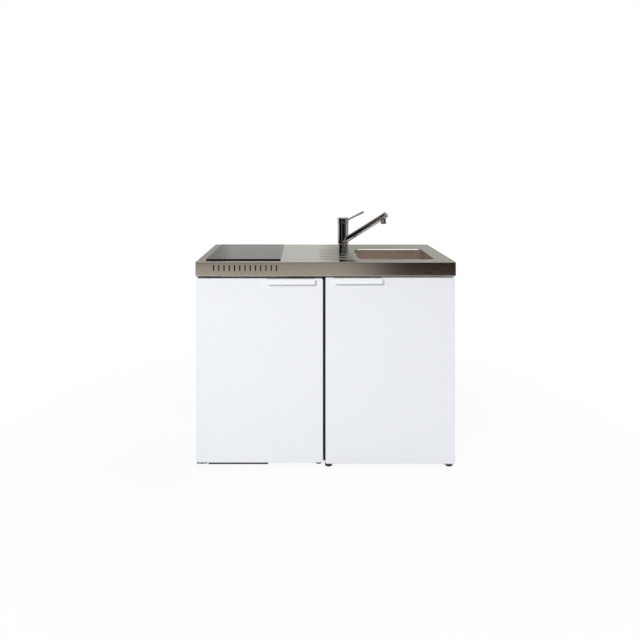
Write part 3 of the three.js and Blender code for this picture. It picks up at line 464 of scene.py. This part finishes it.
def worktop_piece():
    """The folded sheet with its three openings, pressed drainer, apron with vents, and return lip."""
    bm = bmesh.new()
    # a support is a narrow flat beside each bend, which keeps the large faces' shading flat
    fold, under, support, corner = 2.5 * MM, 1.8 * MM, 0.8 * MM, 6 * MM
    inset = fold + support
    outline = rounded_plate(bm, grown(SPAN_X, -inset), grown(SPAN_Y, -inset), TOP, corner - inset, 4)
    borders = list(outline)

    # rim of the bowl's opening: pressed down in a slope 3 mm wide between two bends of 1.2 mm
    bend, slope, flat = 1.2 * MM, 3 * MM, 0.2 * MM
    outer = bend + slope + support
    rim = rounded_plate(bm, grown(BOWL["x"], outer), grown(BOWL["y"], outer), TOP,
                        BOWL["corner"] + outer, 12)
    borders += rim

    # opening under the glass, which rests on 11 mm all round, hole for the tap, and the drainer's field
    rest = 11 * MM
    borders += rounded_plate(bm, (glass_low.x + rest, glass_high.x - rest),
                             (glass_low.y + rest, glass_high.y - rest), TOP, 6 * MM, 4)
    hole = bmesh.ops.create_circle(bm, segments=32, radius=TAP_HOLE,
                                   matrix=Matrix.Translation((*TAP, TOP)))
    borders += list({e for v in hole["verts"] for e in v.link_edges})
    field_x, field_y = DRAINER_FIELD["x"], DRAINER_FIELD["y"]
    grid = bmesh.ops.create_grid(bm, x_segments=60, y_segments=110, size=0.5)["verts"]
    bmesh.ops.scale(bm, vec=(field_x[1] - field_x[0], field_y[1] - field_y[0], 1), verts=grid)
    bmesh.ops.translate(bm, vec=(sum(field_x) / 2, sum(field_y) / 2, TOP), verts=grid)
    borders += [e for e in {e for v in grid for e in v.link_edges} if e.is_boundary]
    bmesh.ops.triangle_fill(bm, use_beauty=True, edges=borders, normal=(0, 0, 1))
    for v in grid:
        v.co.z -= press_depth(v.co.x, v.co.y)

    # outer folds: over the edge, down the apron, and the return lip under it, 22 mm wide
    lip_width = 22 * MM
    wall = TOP - worktop_low.z - fold - under - 2 * support
    down = [(support, 0)] + arc(fold, 90, 0, 5) + [(0, -support), (0, -wall), (0, -support)]
    lip = flow(bm, outline, core_of(SPAN_X, SPAN_Y, corner), down + arc(under, 0, -90, 4))
    for v in points_of(bmesh.ops.extrude_edge_only(bm, edges=lip)):
        v.co.x = max(SPAN_X[0] + lip_width, min(v.co.x, SPAN_X[1] - lip_width))
        v.co.y = max(SPAN_Y[0] + lip_width, min(v.co.y, SPAN_Y[1] - lip_width))
    drop = arc(bend, 90, 45, 2) + [(flat, -flat), (slope - 2 * flat, 2 * flat - slope), (flat, -flat)]
    drop += arc(bend, 45, 0, 2)
    flow(bm, rim, core_of(BOWL["x"], BOWL["y"], BOWL["corner"]),
         [(-support, 0)] + [(-inwards, up) for inwards, up in drop] + [(0, -flat)])
    bmesh.ops.remove_doubles(bm, verts=bm.verts, dist=SAME_POINT)
    faced(bm, (0, 0, 1))

    # the front of the apron between its rounded corners, opened for the vent slots
    for x in grown(SPAN_X, -corner - support):
        bmesh.ops.bisect_plane(bm, geom=list(bm.verts) + list(bm.edges) + list(bm.faces), dist=1e-7,
                               plane_co=(x, 0, 0), plane_no=(1, 0, 0))
    front = max((f for f in bm.faces if f.normal.y < -0.999), key=lambda f: f.calc_area())
    edges = list(front.edges)
    bmesh.ops.delete(bm, geom=[front], context="FACES_ONLY")
    for x in VENTS["x"]:
        slot = rounded_plate(bm, grown((x, x), VENTS["half_width"]), VENTS["z"], -SPAN_Y[0],
                             VENTS["half_width"] - 0.01 * MM, 5)
        bmesh.ops.transform(bm, matrix=UPRIGHT, verts=list({v for e in slot for v in e.verts}))
        edges += slot
    bmesh.ops.triangle_fill(bm, use_beauty=True, edges=edges, normal=(0, -1, 0))
    thicken(finished(bm, "worktop_sheet", ["worktop"]), WORKTOP_SHEET)


def bowl_piece():
    """Deep-drawn bowl: upright walls, a rounded foot, and a floor that falls to the strainer's seat."""
    bm = bmesh.new()
    curve, fall, seat, cup = 24 * MM, 2 * MM, 58 * MM, 42.5 * MM
    x, y = grown(BOWL["x"], -0.05 * MM), grown(BOWL["y"], -0.05 * MM)
    top = TOP - 4.6 * MM
    floor = TOP - BOWL["depth"]
    edges = rounded_plate(bm, x, y, top, BOWL["corner"], 12)
    steps = [(0, -1 * MM), (0, floor + fall + curve - top + 2 * MM), (0, -1 * MM)]
    steps += arc(curve, 0, -90, 8) + [(-1.5 * MM, 0)]
    edges = flow(bm, edges, core_of(x, y, BOWL["corner"]), steps)
    hole = bmesh.ops.create_circle(bm, segments=len(edges), radius=seat,
                                   matrix=Matrix.Translation((*DRAIN, floor + 0.3 * MM)))["verts"]
    ring = list({e for v in hole for e in v.link_edges})
    bmesh.ops.bridge_loops(bm, edges=edges + ring)
    for v in points_of(bmesh.ops.extrude_edge_only(bm, edges=ring)):
        v.co.xy = DRAIN + (v.co.xy - DRAIN) * (cup / seat)
        v.co.z = floor - 0.2 * MM
    faced(bm, (0, 0, 1))
    piece = finished(bm, "bowl_pressing", ["sink_bowl"], BOWL_STEEL)
    thicken(piece, BOWL_SHEET)
    overflow = Matrix.Translation((BOWL["x"][0], DRAIN.y, TOP)) @ shift(z=-38) @ turn(90, "Y")
    combine(piece, bar(10, 12, overflow), "DIFFERENCE")


worktop_piece()
bowl_piece()

# ---------------------------------------------------------------- hob


def hob_plate():
    """Glass plate with small rounded corners and ground edges."""
    bm = bmesh.new()
    facet, corner = 0.6 * MM, 3 * MM
    x, y = (glass_low.x, glass_high.x), (glass_low.y, glass_high.y)
    outline = rounded_plate(bm, grown(x, -facet), grown(y, -facet), glass_high.z, corner - facet, 5)
    thickness = glass_high.z - glass_low.z
    steps = arc(facet, 90, 0, 3) + [(0, 2 * facet - thickness)] + arc(facet, 0, -90, 3)
    last = flow(bm, outline, core_of(x, y, corner), steps)
    bmesh.ops.contextual_create(bm, geom=outline)
    bmesh.ops.contextual_create(bm, geom=last)
    bmesh.ops.recalc_face_normals(bm, faces=bm.faces)
    # creased from 10 degrees on, so that the ground edge doesn't bend what the flat glass mirrors
    finished(bm, "hob_plate", ["hob_glass"], sharp=10)


hob_plate()

# ---------------------------------------------------------------- tap

# heights and lengths in millimetres from the worktop's top at the tap's middle, angles in degrees
AT_TAP = Matrix.Translation((*TAP, TOP))
SPOUT = {"turn": -30, "slope": 32, "foot": 33.2, "reach": 228.6, "radius": 14, "outlet": 214}
OUTLET = turn(SPOUT["turn"], "Z") @ shift(x=SPOUT["outlet"])
CAP_TOP = 151.3
LEVER_SLOPE = 26.5
LEVER_PIVOT = AT_TAP @ shift(14, 0, 137.5)
LEVER_PIN = LEVER_PIVOT @ turn(90, "X")


def tap_base():
    """Foot ring on the worktop, the barrel that the spout turns on, and the shank under the worktop."""
    profile = [(0, -62), (16, -62), (16, 0.3), (25.5, 0.3), (26.5, 1.3), (26.5, 21.8)]
    profile += corner_round((25.3, 22), 1.2, 0, 90, 3) + [(18, 23.2), (18, 25), (18, 112), (0, 112)]
    finished(moved(turned(profile, 96), AT_TAP), "tap_base", ["tap_body"])


def tap_spout():
    """Sleeve round the barrel, the slanting arm out of its wall, and the short outlet under its end."""
    sleeve = [(18.6, 25.4), (25.6, 25.4)] + corner_round((25.7, 26.2), 0.8, -90, 0, 3)
    sleeve += corner_round((25.7, 126.2), 0.8, 0, 90, 3) + [(18.6, 127)]
    piece = finished(moved(turned(sleeve, 96, closed=True), AT_TAP), "tap_spout_arm", ["tap_spout"])
    slant = turn(SPOUT["turn"], "Z") @ shift(z=SPOUT["foot"]) @ turn(90 - SPOUT["slope"], "Y")
    reach, radius = SPOUT["reach"] / math.cos(math.radians(SPOUT["slope"])), SPOUT["radius"]
    arm = [(0, 21.5), (radius, 21.5), (radius, reach - 14)]
    arm += corner_round((radius, reach - 13.3), 0.7, -90, 0, 2)
    arm += corner_round((13.1, reach - 1.6), 1.6, 0, 90, 4) + [(4, reach), (0, reach)]
    combine(piece, moved(turned(arm), AT_TAP @ slant), "UNION")
    boss = [(0, 141.6), (11.4, 141.6), (12, 142.4), (12, 166), (0, 166)]
    combine(piece, moved(turned(boss, 48), AT_TAP @ OUTLET), "UNION")
    bore = [(0, 20), (18.6, 20), (18.6, 130), (0, 130)]
    combine(piece, moved(turned(bore, 96), AT_TAP), "DIFFERENCE")


def aerator_ring():
    """The screwed ring with a groove round it, and its recessed strainer."""
    ring = [(0, 133), (9.5, 133), (10.5, 131.6), (12.6, 131.6), (13.5, 132.4), (13.5, 136.2), (13, 136.6),
            (13, 137.2), (13.5, 137.6), (13.5, 140.4), (12.6, 141.3), (0, 141.3)]
    finished(moved(turned(ring, 48), AT_TAP @ OUTLET), "aerator_ring", ["tap_aerator"])


def tap_head():
    """Cap with a groove round it, cut open for the lever and bored for its pin."""
    profile = [(0, 134.5), (6, 134.5), (6, 127.4), (26.7, 127.4)]
    profile += corner_round((26.7, 128.2), 0.8, -90, 0, 3)
    profile += [(27.5, 134), (27.2, 134.3), (27.2, 134.9), (27.5, 135.2)]
    profile += corner_round((25, CAP_TOP - 2.5), 2.5, 0, 75, 5)
    profile += [(14, CAP_TOP + 0.8), (0, CAP_TOP + 1.2)]
    piece = finished(moved(turned(profile, 96), AT_TAP), "tap_head", ["tap_cap"])
    combine(piece, block((30, 12, 30), AT_TAP @ shift(22.5, 0, 146)), "DIFFERENCE")
    combine(piece, bar(2.4, 34, LEVER_PIN, 24), "DIFFERENCE")


def tap_lever():
    """Barrel on its pin inside the head, and the rod with its thicker grip."""
    piece = finished(bar(5.4, 10.8, LEVER_PIN, 40), "tap_lever_rod", ["tap_lever"])
    combine(piece, bar(2, 32, LEVER_PIN, 40), "UNION")
    rod = [(0, 0), (4.9, 0), (4.9, 60), (5.9, 62)] + corner_round((4.3, 96.4), 1.6, 0, 90, 4) + [(0, 98)]
    combine(piece, moved(turned(rod, 40), LEVER_PIVOT @ turn(90 - LEVER_SLOPE, "Y")), "UNION")


tap_base()
tap_spout()
aerator_ring()
tap_head()
tap_lever()

# ---------------------------------------------------------------- doors


def door_skin(node, name, corner, pin_x, pin_y, bore):
    """A pan of painted sheet: flat front, edges rolled back over 2 mm, open behind, bored for its pins.

    The corners' radius, the pins' place and their bore's radius are in millimetres.
    """
    low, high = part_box(node)
    bm = bmesh.new()
    roll, support, least = 2 * MM, 0.8 * MM, 0.4 * MM
    x, z = (low.x, high.x), (low.z, high.z)
    inset = roll + support
    outline = rounded_plate(bm, grown(x, -inset), grown(z, -inset), -low.y,
                            max(corner * MM - inset, least), 8)
    depth = high.y - low.y
    flow(bm, outline, core_of(x, z, max(corner * MM, inset + least)),
         [(support, 0)] + arc(roll, 90, 0, 6) + [(0, -support), (0, roll + support - depth)])
    bmesh.ops.contextual_create(bm, geom=outline)
    faced(moved(bm, UPRIGHT), (0, -1, 0))
    piece = finished(bm, name, [node])
    thicken(piece, 1 * MM)
    for end in z:
        combine(piece, bar(bore, 12, shift(pin_x, pin_y, end / MM)), "DIFFERENCE")


door_skin("fridge_door_skin", "fridge_door_pan", 9, -536, -261, 4.5)
door_skin("cupboard_door_skin", "cupboard_door_pan", 5, 539.3, -270, 3.5)
softened("fridge_handle", 1.2, 3)
softened("cupboard_handle", 1.2, 3)

# ---------------------------------------------------------------- waste fittings


def overflow_disc():
    """Overflow cover: a domed chrome disc on the bowl's left wall with three slots."""
    low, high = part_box("overflow_cover")
    radius, thickness = (high.z - low.z) / 2 / MM, (high.x - low.x) / MM
    centre = Matrix.Translation((low.x, (low.y + high.y) / 2, (low.z + high.z) / 2))
    profile = [(0, 0), (radius, 0), (radius, 0.9), (radius - 0.5, 1.5), (radius - 3, thickness - 0.4),
               (radius * 0.5, thickness), (0, thickness)]
    disc = moved(turned(profile, 64), centre @ turn(90, "Y"))
    piece = finished(disc, "overflow_disc", ["overflow_cover"])
    for up, length in ((-6, 12), (0, 16), (6, 12)):
        combine(piece, block((8, length, 3), centre @ shift(2, 0, up)), "DIFFERENCE")


def strainer_pieces():
    """Turned cup with a rolled flange, and the basket with its knob and water holes."""
    # heights are in millimetres from the worktop's top
    line = Matrix.Translation((*DRAIN, TOP))
    floor = 0.3 - BOWL["depth"] / MM
    cup = [(17, -215), (20, -215), (20, -197.5), (21, -196.5), (41, -196.5), (42, -195.5), (42, floor),
           (56, floor), (56, floor + 0.7), (55.2, floor + 1.4), (53.5, floor + 1.8), (43, floor + 1.4),
           (41, floor + 0.9), (40, floor - 0.5), (40, -193), (38.5, -194.5), (17, -194.5)]
    piece = finished(moved(turned(cup, 80, closed=True), line), "strainer_cup_turned", ["strainer_cup"])
    combine(piece, bar(8, 20, line @ shift(-40, 0, -180) @ turn(90, "Y")), "DIFFERENCE")

    top = 2.2 - BOWL["depth"] / MM
    basket = [(0, -188), (29, -188), (31, -187.2), (37.6, -180.5), (38, -179), (38.5, top - 0.4),
              (38.2, top), (37.4, top), (37.1, top - 0.4), (36.7, -179), (36, -179.8), (30, -186),
              (28.6, -186.6), (5, -186.6), (4.2, -185), (4, -166), (5.5, -163), (9, -160.6), (9, -156.6),
              (8, -155.3), (5, -154.6), (0, -154.5)]
    piece = finished(moved(turned(basket, 80), line), "strainer_basket_turned", ["strainer_basket"])
    holes = bmesh.new()
    for angle in (math.radians(60 * i) for i in range(6)):
        bar(4, 6, line @ shift(19 * math.cos(angle), 19 * math.sin(angle), -187), 20, into=holes)
    combine(piece, holes, "DIFFERENCE")


overflow_disc()
strainer_pieces()
for node, width in (("overflow_pipe", 0.5), ("trap_body", 1.0), ("trap_cup", 1.5), ("waste_pipe", 0.8),
                    ("hob_casing", 0.5), ("tap_nut", 0.6)):
    softened(node, width)

# ---------------------------------------------------------------- feet


def foot(node):
    """Levelling foot: rubber-edged pad, hexagon nut and stud, turned about its own upright line."""
    low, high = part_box(node)
    radius, height = (high.x - low.x) / 2 / MM, high.z / MM
    line = Matrix.Translation(((low.x + high.x) / 2, (low.y + high.y) / 2, 0))
    pad = [(0, 0), (radius - 1.2, 0), (radius, 1.2), (radius, 5), (radius - 0.5, 5.5),
           (radius - 0.5, 6.3), (radius, 6.8), (radius, 10.6), (radius - 1.4, 12), (8, 12.6), (4, 12.8),
           (4, height), (0, height)]
    piece = finished(moved(turned(pad, 48), line), node + "_turned", [node])
    combine(piece, bar(7.5, 3, line @ shift(z=13.7), 6), "UNION")


for node in frame["nodes"]:
    if "_foot_" in node:
        foot(node)

# ---------------------------------------------------------------- fridge

for node, width, segments in (
        ("fridge_case", 0.5, 2), ("fridge_plinth", 0.6, 2), ("fridge_liner", 0.7, 2),
        ("fridge_base_plate", 0.5, 2), ("evaporator_box", 0.7, 2), ("freezer_flap", 1.0, 2),
        ("fridge_shelf_upper", 0.8, 2), ("fridge_shelf_lower", 0.8, 2), ("crisper_drawer", 0.8, 2),
        ("thermostat_housing", 2.0, 4), ("fridge_hinge_top", 0.5, 2), ("fridge_door_liner", 0.7, 2),
        ("fridge_gasket", 2.0, 3), ("door_rack_upper", 0.8, 2), ("door_rack_lower", 0.8, 2)):
    softened(node, width, segments)
# the lower hinge is painted black: painted shade, dark where the shadow under the fridge door falls
softened("fridge_hinge_bottom", 0.5, 2, material=FINISHES["black_steel"])


def thermostat_dial():
    """Knob: 24 shallow grips round a disc, with a raised bar to turn it by and a groove that points."""
    low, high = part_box("thermostat_knob")
    out = Matrix.Translation((high.x, (low.y + high.y) / 2, (low.z + high.z) / 2)) @ turn(-90, "Y")
    bm = bmesh.new()
    rim = bmesh.ops.create_circle(bm, cap_ends=True, segments=72, radius=(high.z - low.z) / 2)["verts"]
    for v in rim[::3]:
        v.co *= 0.965
    raised = points_of(bmesh.ops.extrude_face_region(bm, geom=list(bm.faces)))
    bmesh.ops.translate(bm, vec=(0, 0, 6 * MM), verts=raised)
    edge = [e for e in bm.edges if all(v in raised for v in e.verts)]
    bmesh.ops.bevel(bm, geom=edge, offset=0.6 * MM, segments=2, profile=0.5, affect="EDGES", material=-1)
    bmesh.ops.recalc_face_normals(bm, faces=bm.faces)
    piece = finished(moved(bm, out), "thermostat_dial", ["thermostat_knob"])
    combine(piece, block((28, 6, 9), out @ shift(z=9.5), 1.2), "UNION")
    combine(piece, block((9, 1.2, 1.4), out @ shift(10, 0, 14)), "DIFFERENCE")


def compressor_pot():
    """Drawn pot with its welded seam, on a foot plate with rubber mounts, and its terminals' cover."""
    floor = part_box("compressor")[0].z / MM
    base = shift(-215, 172)
    pot = [(0, floor + 6), (38, floor + 8), (46, floor + 13)] + corner_round((40, 64.3), 20, -55, 0, 5)
    pot += [(60, 78), (62.4, 78.6), (62.4, 83.4), (60, 84), (60, 95)]
    pot += corner_round((38, 95), 22, 0, 52, 6)[1:] + corner_round((0, 75), 60, 57, 90, 8)
    piece = finished(moved(turned(pot, 64), base), "compressor_pot", ["compressor"])
    plate, cover, lid = (0, 0, floor + 3.5), (-71, 0, 82), (-84.5, 0, 82)
    for place, size, edge in ((plate, (170, 52, 3), 1), (cover, (42, 48, 44), 4), (lid, (3, 30, 30), 1)):
        combine(piece, block(size, base @ shift(*place), edge), "UNION")
    mount = [(0, floor), (8, floor), (9, floor + 1), (9, floor + 8), (8, floor + 9), (5, floor + 9),
             (4.5, floor + 7.5), (0, floor + 7.5)]
    for x in (-74, 74):
        for y in (-16, 16):
            combine(piece, moved(turned(mount, 32), base @ shift(x, y)), "UNION")
    gland = [(0, 88), (7, 88), (7, 101), (5.5, 104), (0, 104)]
    combine(piece, moved(turned(gland, 32), base @ shift(z=82) @ turn(-90, "Y")), "UNION")


def condenser_tube():
    """One black tube: up from the compressor, to and fro across the back, and in through the case."""
    radius, bend, y = 3, 12, 264
    left, right, entry = -505, -51, -111
    runs = [262 + 62 * i for i in range(9)]
    corners = [(-185, 172, 133.5), (-185, 172, 175), (-185, y, 175), (-185, y, runs[0])]
    corners.append((right, y, runs[0]))
    for i, z in enumerate(runs[1:]):
        ends = (left, right) if i % 2 else (right, left)
        corners += [(ends[0], y, z), (ends[1], y, z)]
    corners[-1] = (entry, y, runs[-1])
    corners.append((entry, 238.3, runs[-1]))
    corners = [Vector(corner) for corner in corners]
    points = [corners[0]]
    for before, here, after in zip(corners, corners[1:], corners[2:]):
        back, on = (before - here).normalized(), (after - here).normalized()
        centre = here + (back + on) * bend
        points += [centre - on * bend * math.cos(a) - back * bend * math.sin(a)
                   for a in (i * math.pi / 12 for i in range(7))]
    points.append(corners[-1])
    line = bpy.data.curves.new("condenser_line", "CURVE")
    line.dimensions, line.use_fill_caps = "3D", True
    line.bevel_depth, line.bevel_resolution = radius * MM, 3
    spline = line.splines.new("POLY")
    spline.points.add(len(points) - 1)
    for point, at in zip(spline.points, points):
        point.co = (*(at * MM), 1)
    tool = bpy.data.objects.new("condenser_line", line)
    bpy.context.scene.collection.objects.link(tool)
    mesh = bpy.data.meshes.new_from_object(tool.evaluated_get(bpy.context.evaluated_depsgraph_get()))
    bpy.data.objects.remove(tool)
    bm = bmesh.new()
    bm.from_mesh(mesh)
    bpy.data.meshes.remove(mesh)
    bmesh.ops.remove_doubles(bm, verts=bm.verts, dist=SAME_POINT)
    bmesh.ops.recalc_face_normals(bm, faces=bm.faces)
    finished(bm, "condenser_tube", ["condenser_coil"])


def condenser_wires():
    """The upright wires welded to both sides of the tube, which carry its heat away."""
    wires = bmesh.new()
    for i in range(36):
        for y in (260.2, 267.8):
            bar(0.8, 512, shift(-496.5 + 12.5 * i, y, 510), 6, into=wires)
    finished(wires, "condenser_wires", ["condenser_coil"], added=True)


def niche_lining():
    """Galvanised sheet over the foam behind and above the compressor, bent over a 4 mm radius."""
    bm = bmesh.new()
    (left, right), (wall, back), (floor, roof), bend = (-545.4, -10.6), (104.5, 236), (24.6, 221.5), 4
    line = [(wall, floor)] + corner_round((wall + bend, roof - bend), bend, 180, 90, 5) + [(back, roof)]
    verts = [bm.verts.new((left * MM, y * MM, z * MM)) for y, z in line]
    edges = [bm.edges.new(pair) for pair in zip(verts, verts[1:])]
    made = bmesh.ops.extrude_edge_only(bm, edges=edges)
    bmesh.ops.translate(bm, vec=((right - left) * MM, 0, 0), verts=points_of(made))
    faced(bm, (0, 1, 0))
    piece = finished(bm, "niche_lining", ["fridge_foam"], FINISHES["galvanised"], added=True)
    thicken(piece, 0.2 * MM)


thermostat_dial()
compressor_pot()
condenser_tube()
condenser_wires()
niche_lining()

# ---------------------------------------------------------------- cupboard

for node, width, segments in (
        ("cupboard_case", 0.5, 2), ("cupboard_shelf", 0.8, 2), ("cupboard_hinge_top", 0.5, 2),
        ("cupboard_hinge_bottom", 0.5, 2), ("cupboard_catch", 0.8, 2), ("cupboard_door_core", 0.3, 1)):
    softened(node, width, segments)


def gap_shade_strip():
    """Black strip over the joint between fridge and cupboard: painted shade, a dark sheet that stands in
    for the shadow in the gap between the doors.
    """
    x, y, z = (-8.8, 0.3), (-255.2, -253.3), (24, 812)
    bm = block([span[1] - span[0] for span in (x, y, z)], shift(*(sum(span) / 2 for span in (x, y, z))))
    front = [e for e in bm.edges if all(v.co.y < sum(y) / 2 * MM for v in e.verts)]
    bmesh.ops.bevel(bm, geom=front, offset=0.8 * MM, segments=3, profile=0.5, affect="EDGES", material=-1)
    piece = finished(bm, "unit_joint_strip", ["cupboard_case"], FINISHES["dark_plastic"], added=True)


gap_shade_strip()

# ---------------------------------------------------------------- shading of the finished pieces

# the large faces rule the normals, so that a rolled edge doesn't bend what the flat sheet beside it
# mirrors
for piece in [o for o in bpy.context.scene.objects if o.type == "MESH" and o.name not in frame["nodes"]]:
    even = piece.modifiers.new("even", "WEIGHTED_NORMAL")
    even.mode, even.weight, even.keep_sharp = "FACE_AREA", 50, True
    apply_modifiers(piece)

# ---------------------------------------------------------------- stage, light and camera

WHITE = [1, 1, 1, 1]
ROOM = {"radius": 4, "height": 5, "sides": 48}
FLOOR_REACH = 14


def stage_piece(name, faces, material):
    """A stage piece from faces given by their corners."""
    bm = bmesh.new()
    for corners in faces:
        bm.faces.new([bm.verts.new(c) for c in corners])
    mesh = bpy.data.meshes.new(name)
    bm.to_mesh(mesh)
    bm.free()
    piece = bpy.data.objects.new(name, mesh)
    bpy.context.scene.collection.objects.link(piece)
    mesh.materials.append(material)
    return piece


def bare(name):
    """A material with an empty node tree."""
    material = bpy.data.materials.new(name)
    material.use_nodes = True
    material.node_tree.nodes.clear()
    return material, material.node_tree


def seen_directly(tree):
    """1 for a ray that comes from the camera, a mirror or glass, 0 for one that carries light."""
    path = add(tree, "LightPath")
    first = add(tree, "Math", {0: path.outputs["Is Camera Ray"], 1: path.outputs["Is Glossy Ray"]},
                operation="MAXIMUM")
    return add(tree, "Math", {0: first.outputs[0], 1: path.outputs["Is Transmission Ray"]},
               operation="MAXIMUM").outputs[0]


def floor_material():
    # white paper sweep: it looks white by itself, and under and beside the object it takes its shadow
    material, tree = bare("paper_floor")
    place = add(tree, "TexCoord").outputs["Object"]
    away = add(tree, "VectorMath", {0: place}, operation="LENGTH")
    far = add(tree, "MapRange", {"Value": away.outputs["Value"], "From Min": 0.7, "From Max": 1.9,
                                 "To Min": 0.92, "To Max": 1.0}, interpolation_type="SMOOTHSTEP")
    # how far a place lies outside the worktop's outline; below 0 it is under the object
    mirrored = add(tree, "VectorMath", {0: place}, operation="ABSOLUTE")
    half = add(tree, "VectorMath", {0: mirrored.outputs[0], 1: (-worktop_low.x, -worktop_low.y, 1)},
               operation="SUBTRACT")
    sides = add(tree, "SeparateXYZ", {"Vector": half.outputs[0]})
    outside = add(tree, "Math", {0: sides.outputs["X"], 1: sides.outputs["Y"]}, operation="MAXIMUM")
    under = add(tree, "MapRange", {"Value": outside.outputs[0], "From Min": -0.14, "From Max": -0.065,
                                   "To Min": 0.15, "To Max": 1.0}, interpolation_type="SMOOTHSTEP")
    share = add(tree, "Math", {0: far.outputs[0], 1: under.outputs[0]}, operation="MULTIPLY")
    share = add(tree, "Math", {0: seen_directly(tree), 1: share.outputs[0]}, operation="MULTIPLY")
    paper = add(tree, "BsdfDiffuse", {"Color": linear("#f2f2f2")})
    glow = add(tree, "Emission", {"Color": WHITE, "Strength": 1.0})
    blend = add(tree, "MixShader", {0: share.outputs[0], 1: paper.outputs[0], 2: glow.outputs[0]})
    add(tree, "OutputMaterial", {"Surface": blend.outputs[0]})
    return material


def room_material():
    # What the metal mirrors. In front it is dark with a few paler uprights, and low in front lies a pale
    # floor that turns to brown dusk at the right. Behind it is mid grey with a lighter window's width.
    material, tree = bare("room_walls")
    place = add(tree, "SeparateXYZ", {"Vector": add(tree, "TexCoord").outputs["Object"]})
    x, y, z = (place.outputs[axis] for axis in "XYZ")

    def stripes(along, colour, steps):
        """Colours side by side along an axis. A step is a soft edge's two ends and the colour after it."""
        for begin, end, after in steps:
            share = add(tree, "MapRange", {"Value": along, "From Min": begin, "From Max": end},
                        interpolation_type="SMOOTHSTEP")
            before, after = (linear(c) if isinstance(c, str) else c for c in (colour, after))
            blend = add(tree, "Mix", {0: share.outputs[0], 6: before, 7: after}, data_type="RGBA")
            colour = blend.outputs[2]
        return colour

    dark, haze = "#1b1917", "#86827d"
    low = stripes(x, "#e0d9d0", ((-1.8, -0.5, "#cec5ba"), (0.2, 1.0, "#38291f")))
    middle = stripes(x, dark, ((-2.3, -2.15, "#7a7671"), (-1.75, -1.6, dark), (1.65, 1.8, "#4e4a46"),
                               (2.1, 2.25, dark), (2.9, 3.2, haze)))
    high = stripes(x, dark, ((-1.75, -1.6, "#a3a09b"), (1.6, 1.75, haze)))
    front = stripes(z, low, ((0.33, 0.37, middle), (1.5, 1.9, high)))
    behind = stripes(x, "#e2e0dd", ((-2.4, -1.9, "#adaaa5"), (-1.05, -0.85, "#c8c7c3"),
                                    (-0.45, -0.2, "#d2d1cd"), (0.05, 0.3, "#adaba6"),
                                    (0.7, 1.3, "#b6b5b0")))
    behind = stripes(z, behind, ((2.7, 3.2, "#bab8b5"),))
    glow = add(tree, "Emission", {"Color": stripes(y, front, ((0.4, 0.7, behind),)), "Strength": 1.0})
    add(tree, "OutputMaterial", {"Surface": glow.outputs[0]})
    return material


def ceiling_material():
    # the room's ceiling: a dim grey, so that the upper sides of tap and lever look dark
    material, tree = bare("room_ceiling")
    glow = add(tree, "Emission", {"Color": linear("#716e6a"), "Strength": 1.0})
    add(tree, "OutputMaterial", {"Surface": glow.outputs[0]})
    return material


def set_room():
    """The floor, and round it a room that only mirroring surfaces see."""
    reach, radius, height = FLOOR_REACH, ROOM["radius"], ROOM["height"]
    corners = [(-reach, -reach, 0), (reach, -reach, 0), (reach, reach, 0), (-reach, reach, 0)]
    stage_piece("floor", [corners], floor_material())
    angles = [2 * math.pi * i / ROOM["sides"] for i in range(ROOM["sides"] + 1)]
    ring = [(radius * math.cos(a), radius * math.sin(a)) for a in angles]
    walls = [[(*a, 2 * MM), (*b, 2 * MM), (*b, height), (*a, height)] for a, b in zip(ring, ring[1:])]
    room = stage_piece("room", walls, room_material())
    ceiling = stage_piece("ceiling", [[(*p, height) for p in ring[:-1]]], ceiling_material())
    for piece in (room, ceiling):
        piece.visible_camera = piece.visible_diffuse = False
        piece.visible_shadow = piece.visible_transmission = False


def set_world():
    """White where it is seen, and a dimmer white for the light that it gives."""
    world = bpy.data.worlds.new("studio")
    bpy.context.scene.world = world
    world.use_nodes = True
    tree = world.node_tree
    tree.nodes.clear()
    strength = add(tree, "MapRange", {"Value": seen_directly(tree), "To Min": 0.32, "To Max": 1.0})
    back = add(tree, "Background", {"Color": WHITE, "Strength": strength.outputs[0]})
    add(tree, "OutputWorld", {"Surface": back.outputs[0]})


def lamp(name, place, target, size, power, colour, mirrored):
    """A rectangular soft light; mirrored says whether metal shows it."""
    light = bpy.data.lights.new(name, "AREA")
    light.shape, light.size, light.size_y = "RECTANGLE", *size
    light.energy, light.color = power, linear(colour)[:3]
    thing = bpy.data.objects.new(name, light)
    thing.location = place
    thing.rotation_euler = (Vector(target) - Vector(place)).to_track_quat("-Z", "Y").to_euler()
    thing.visible_glossy = mirrored
    bpy.context.scene.collection.objects.link(thing)


def set_camera():
    """Level, 2.58 m in front of the worktop's edge; its shift puts the object in its place in the frame."""
    lens = bpy.data.cameras.new("camera")
    camera = bpy.data.objects.new("camera", lens)
    bpy.context.scene.collection.objects.link(camera)
    camera.location = (-0.0946, -2.880, 1.274)
    camera.rotation_euler = (math.radians(90), 0, 0)
    lens.lens, lens.sensor_width = 34.46, 36
    lens.shift_x, lens.shift_y = 0.02625, -0.2366
    lens.clip_end = 60
    bpy.context.scene.camera = camera


set_room()
set_world()
lamp("key", (-2.5, -5.2, 3.6), (0, -0.2, 0.6), (1.2, 0.8), 216, "#fbfcff", mirrored=False)
lamp("top", (0.3, -0.3, 3.4), (0.3, -0.3, 0.8), (3.2, 1.4), 26, "#ffffff", mirrored=True)
lamp("rear", (3.6, 4.4, 3.0), (0, 0, 0.5), (2.0, 1.4), 150, "#ffffff", mirrored=False)
set_camera()
bpy.context.scene.view_settings.view_transform = "Standard"
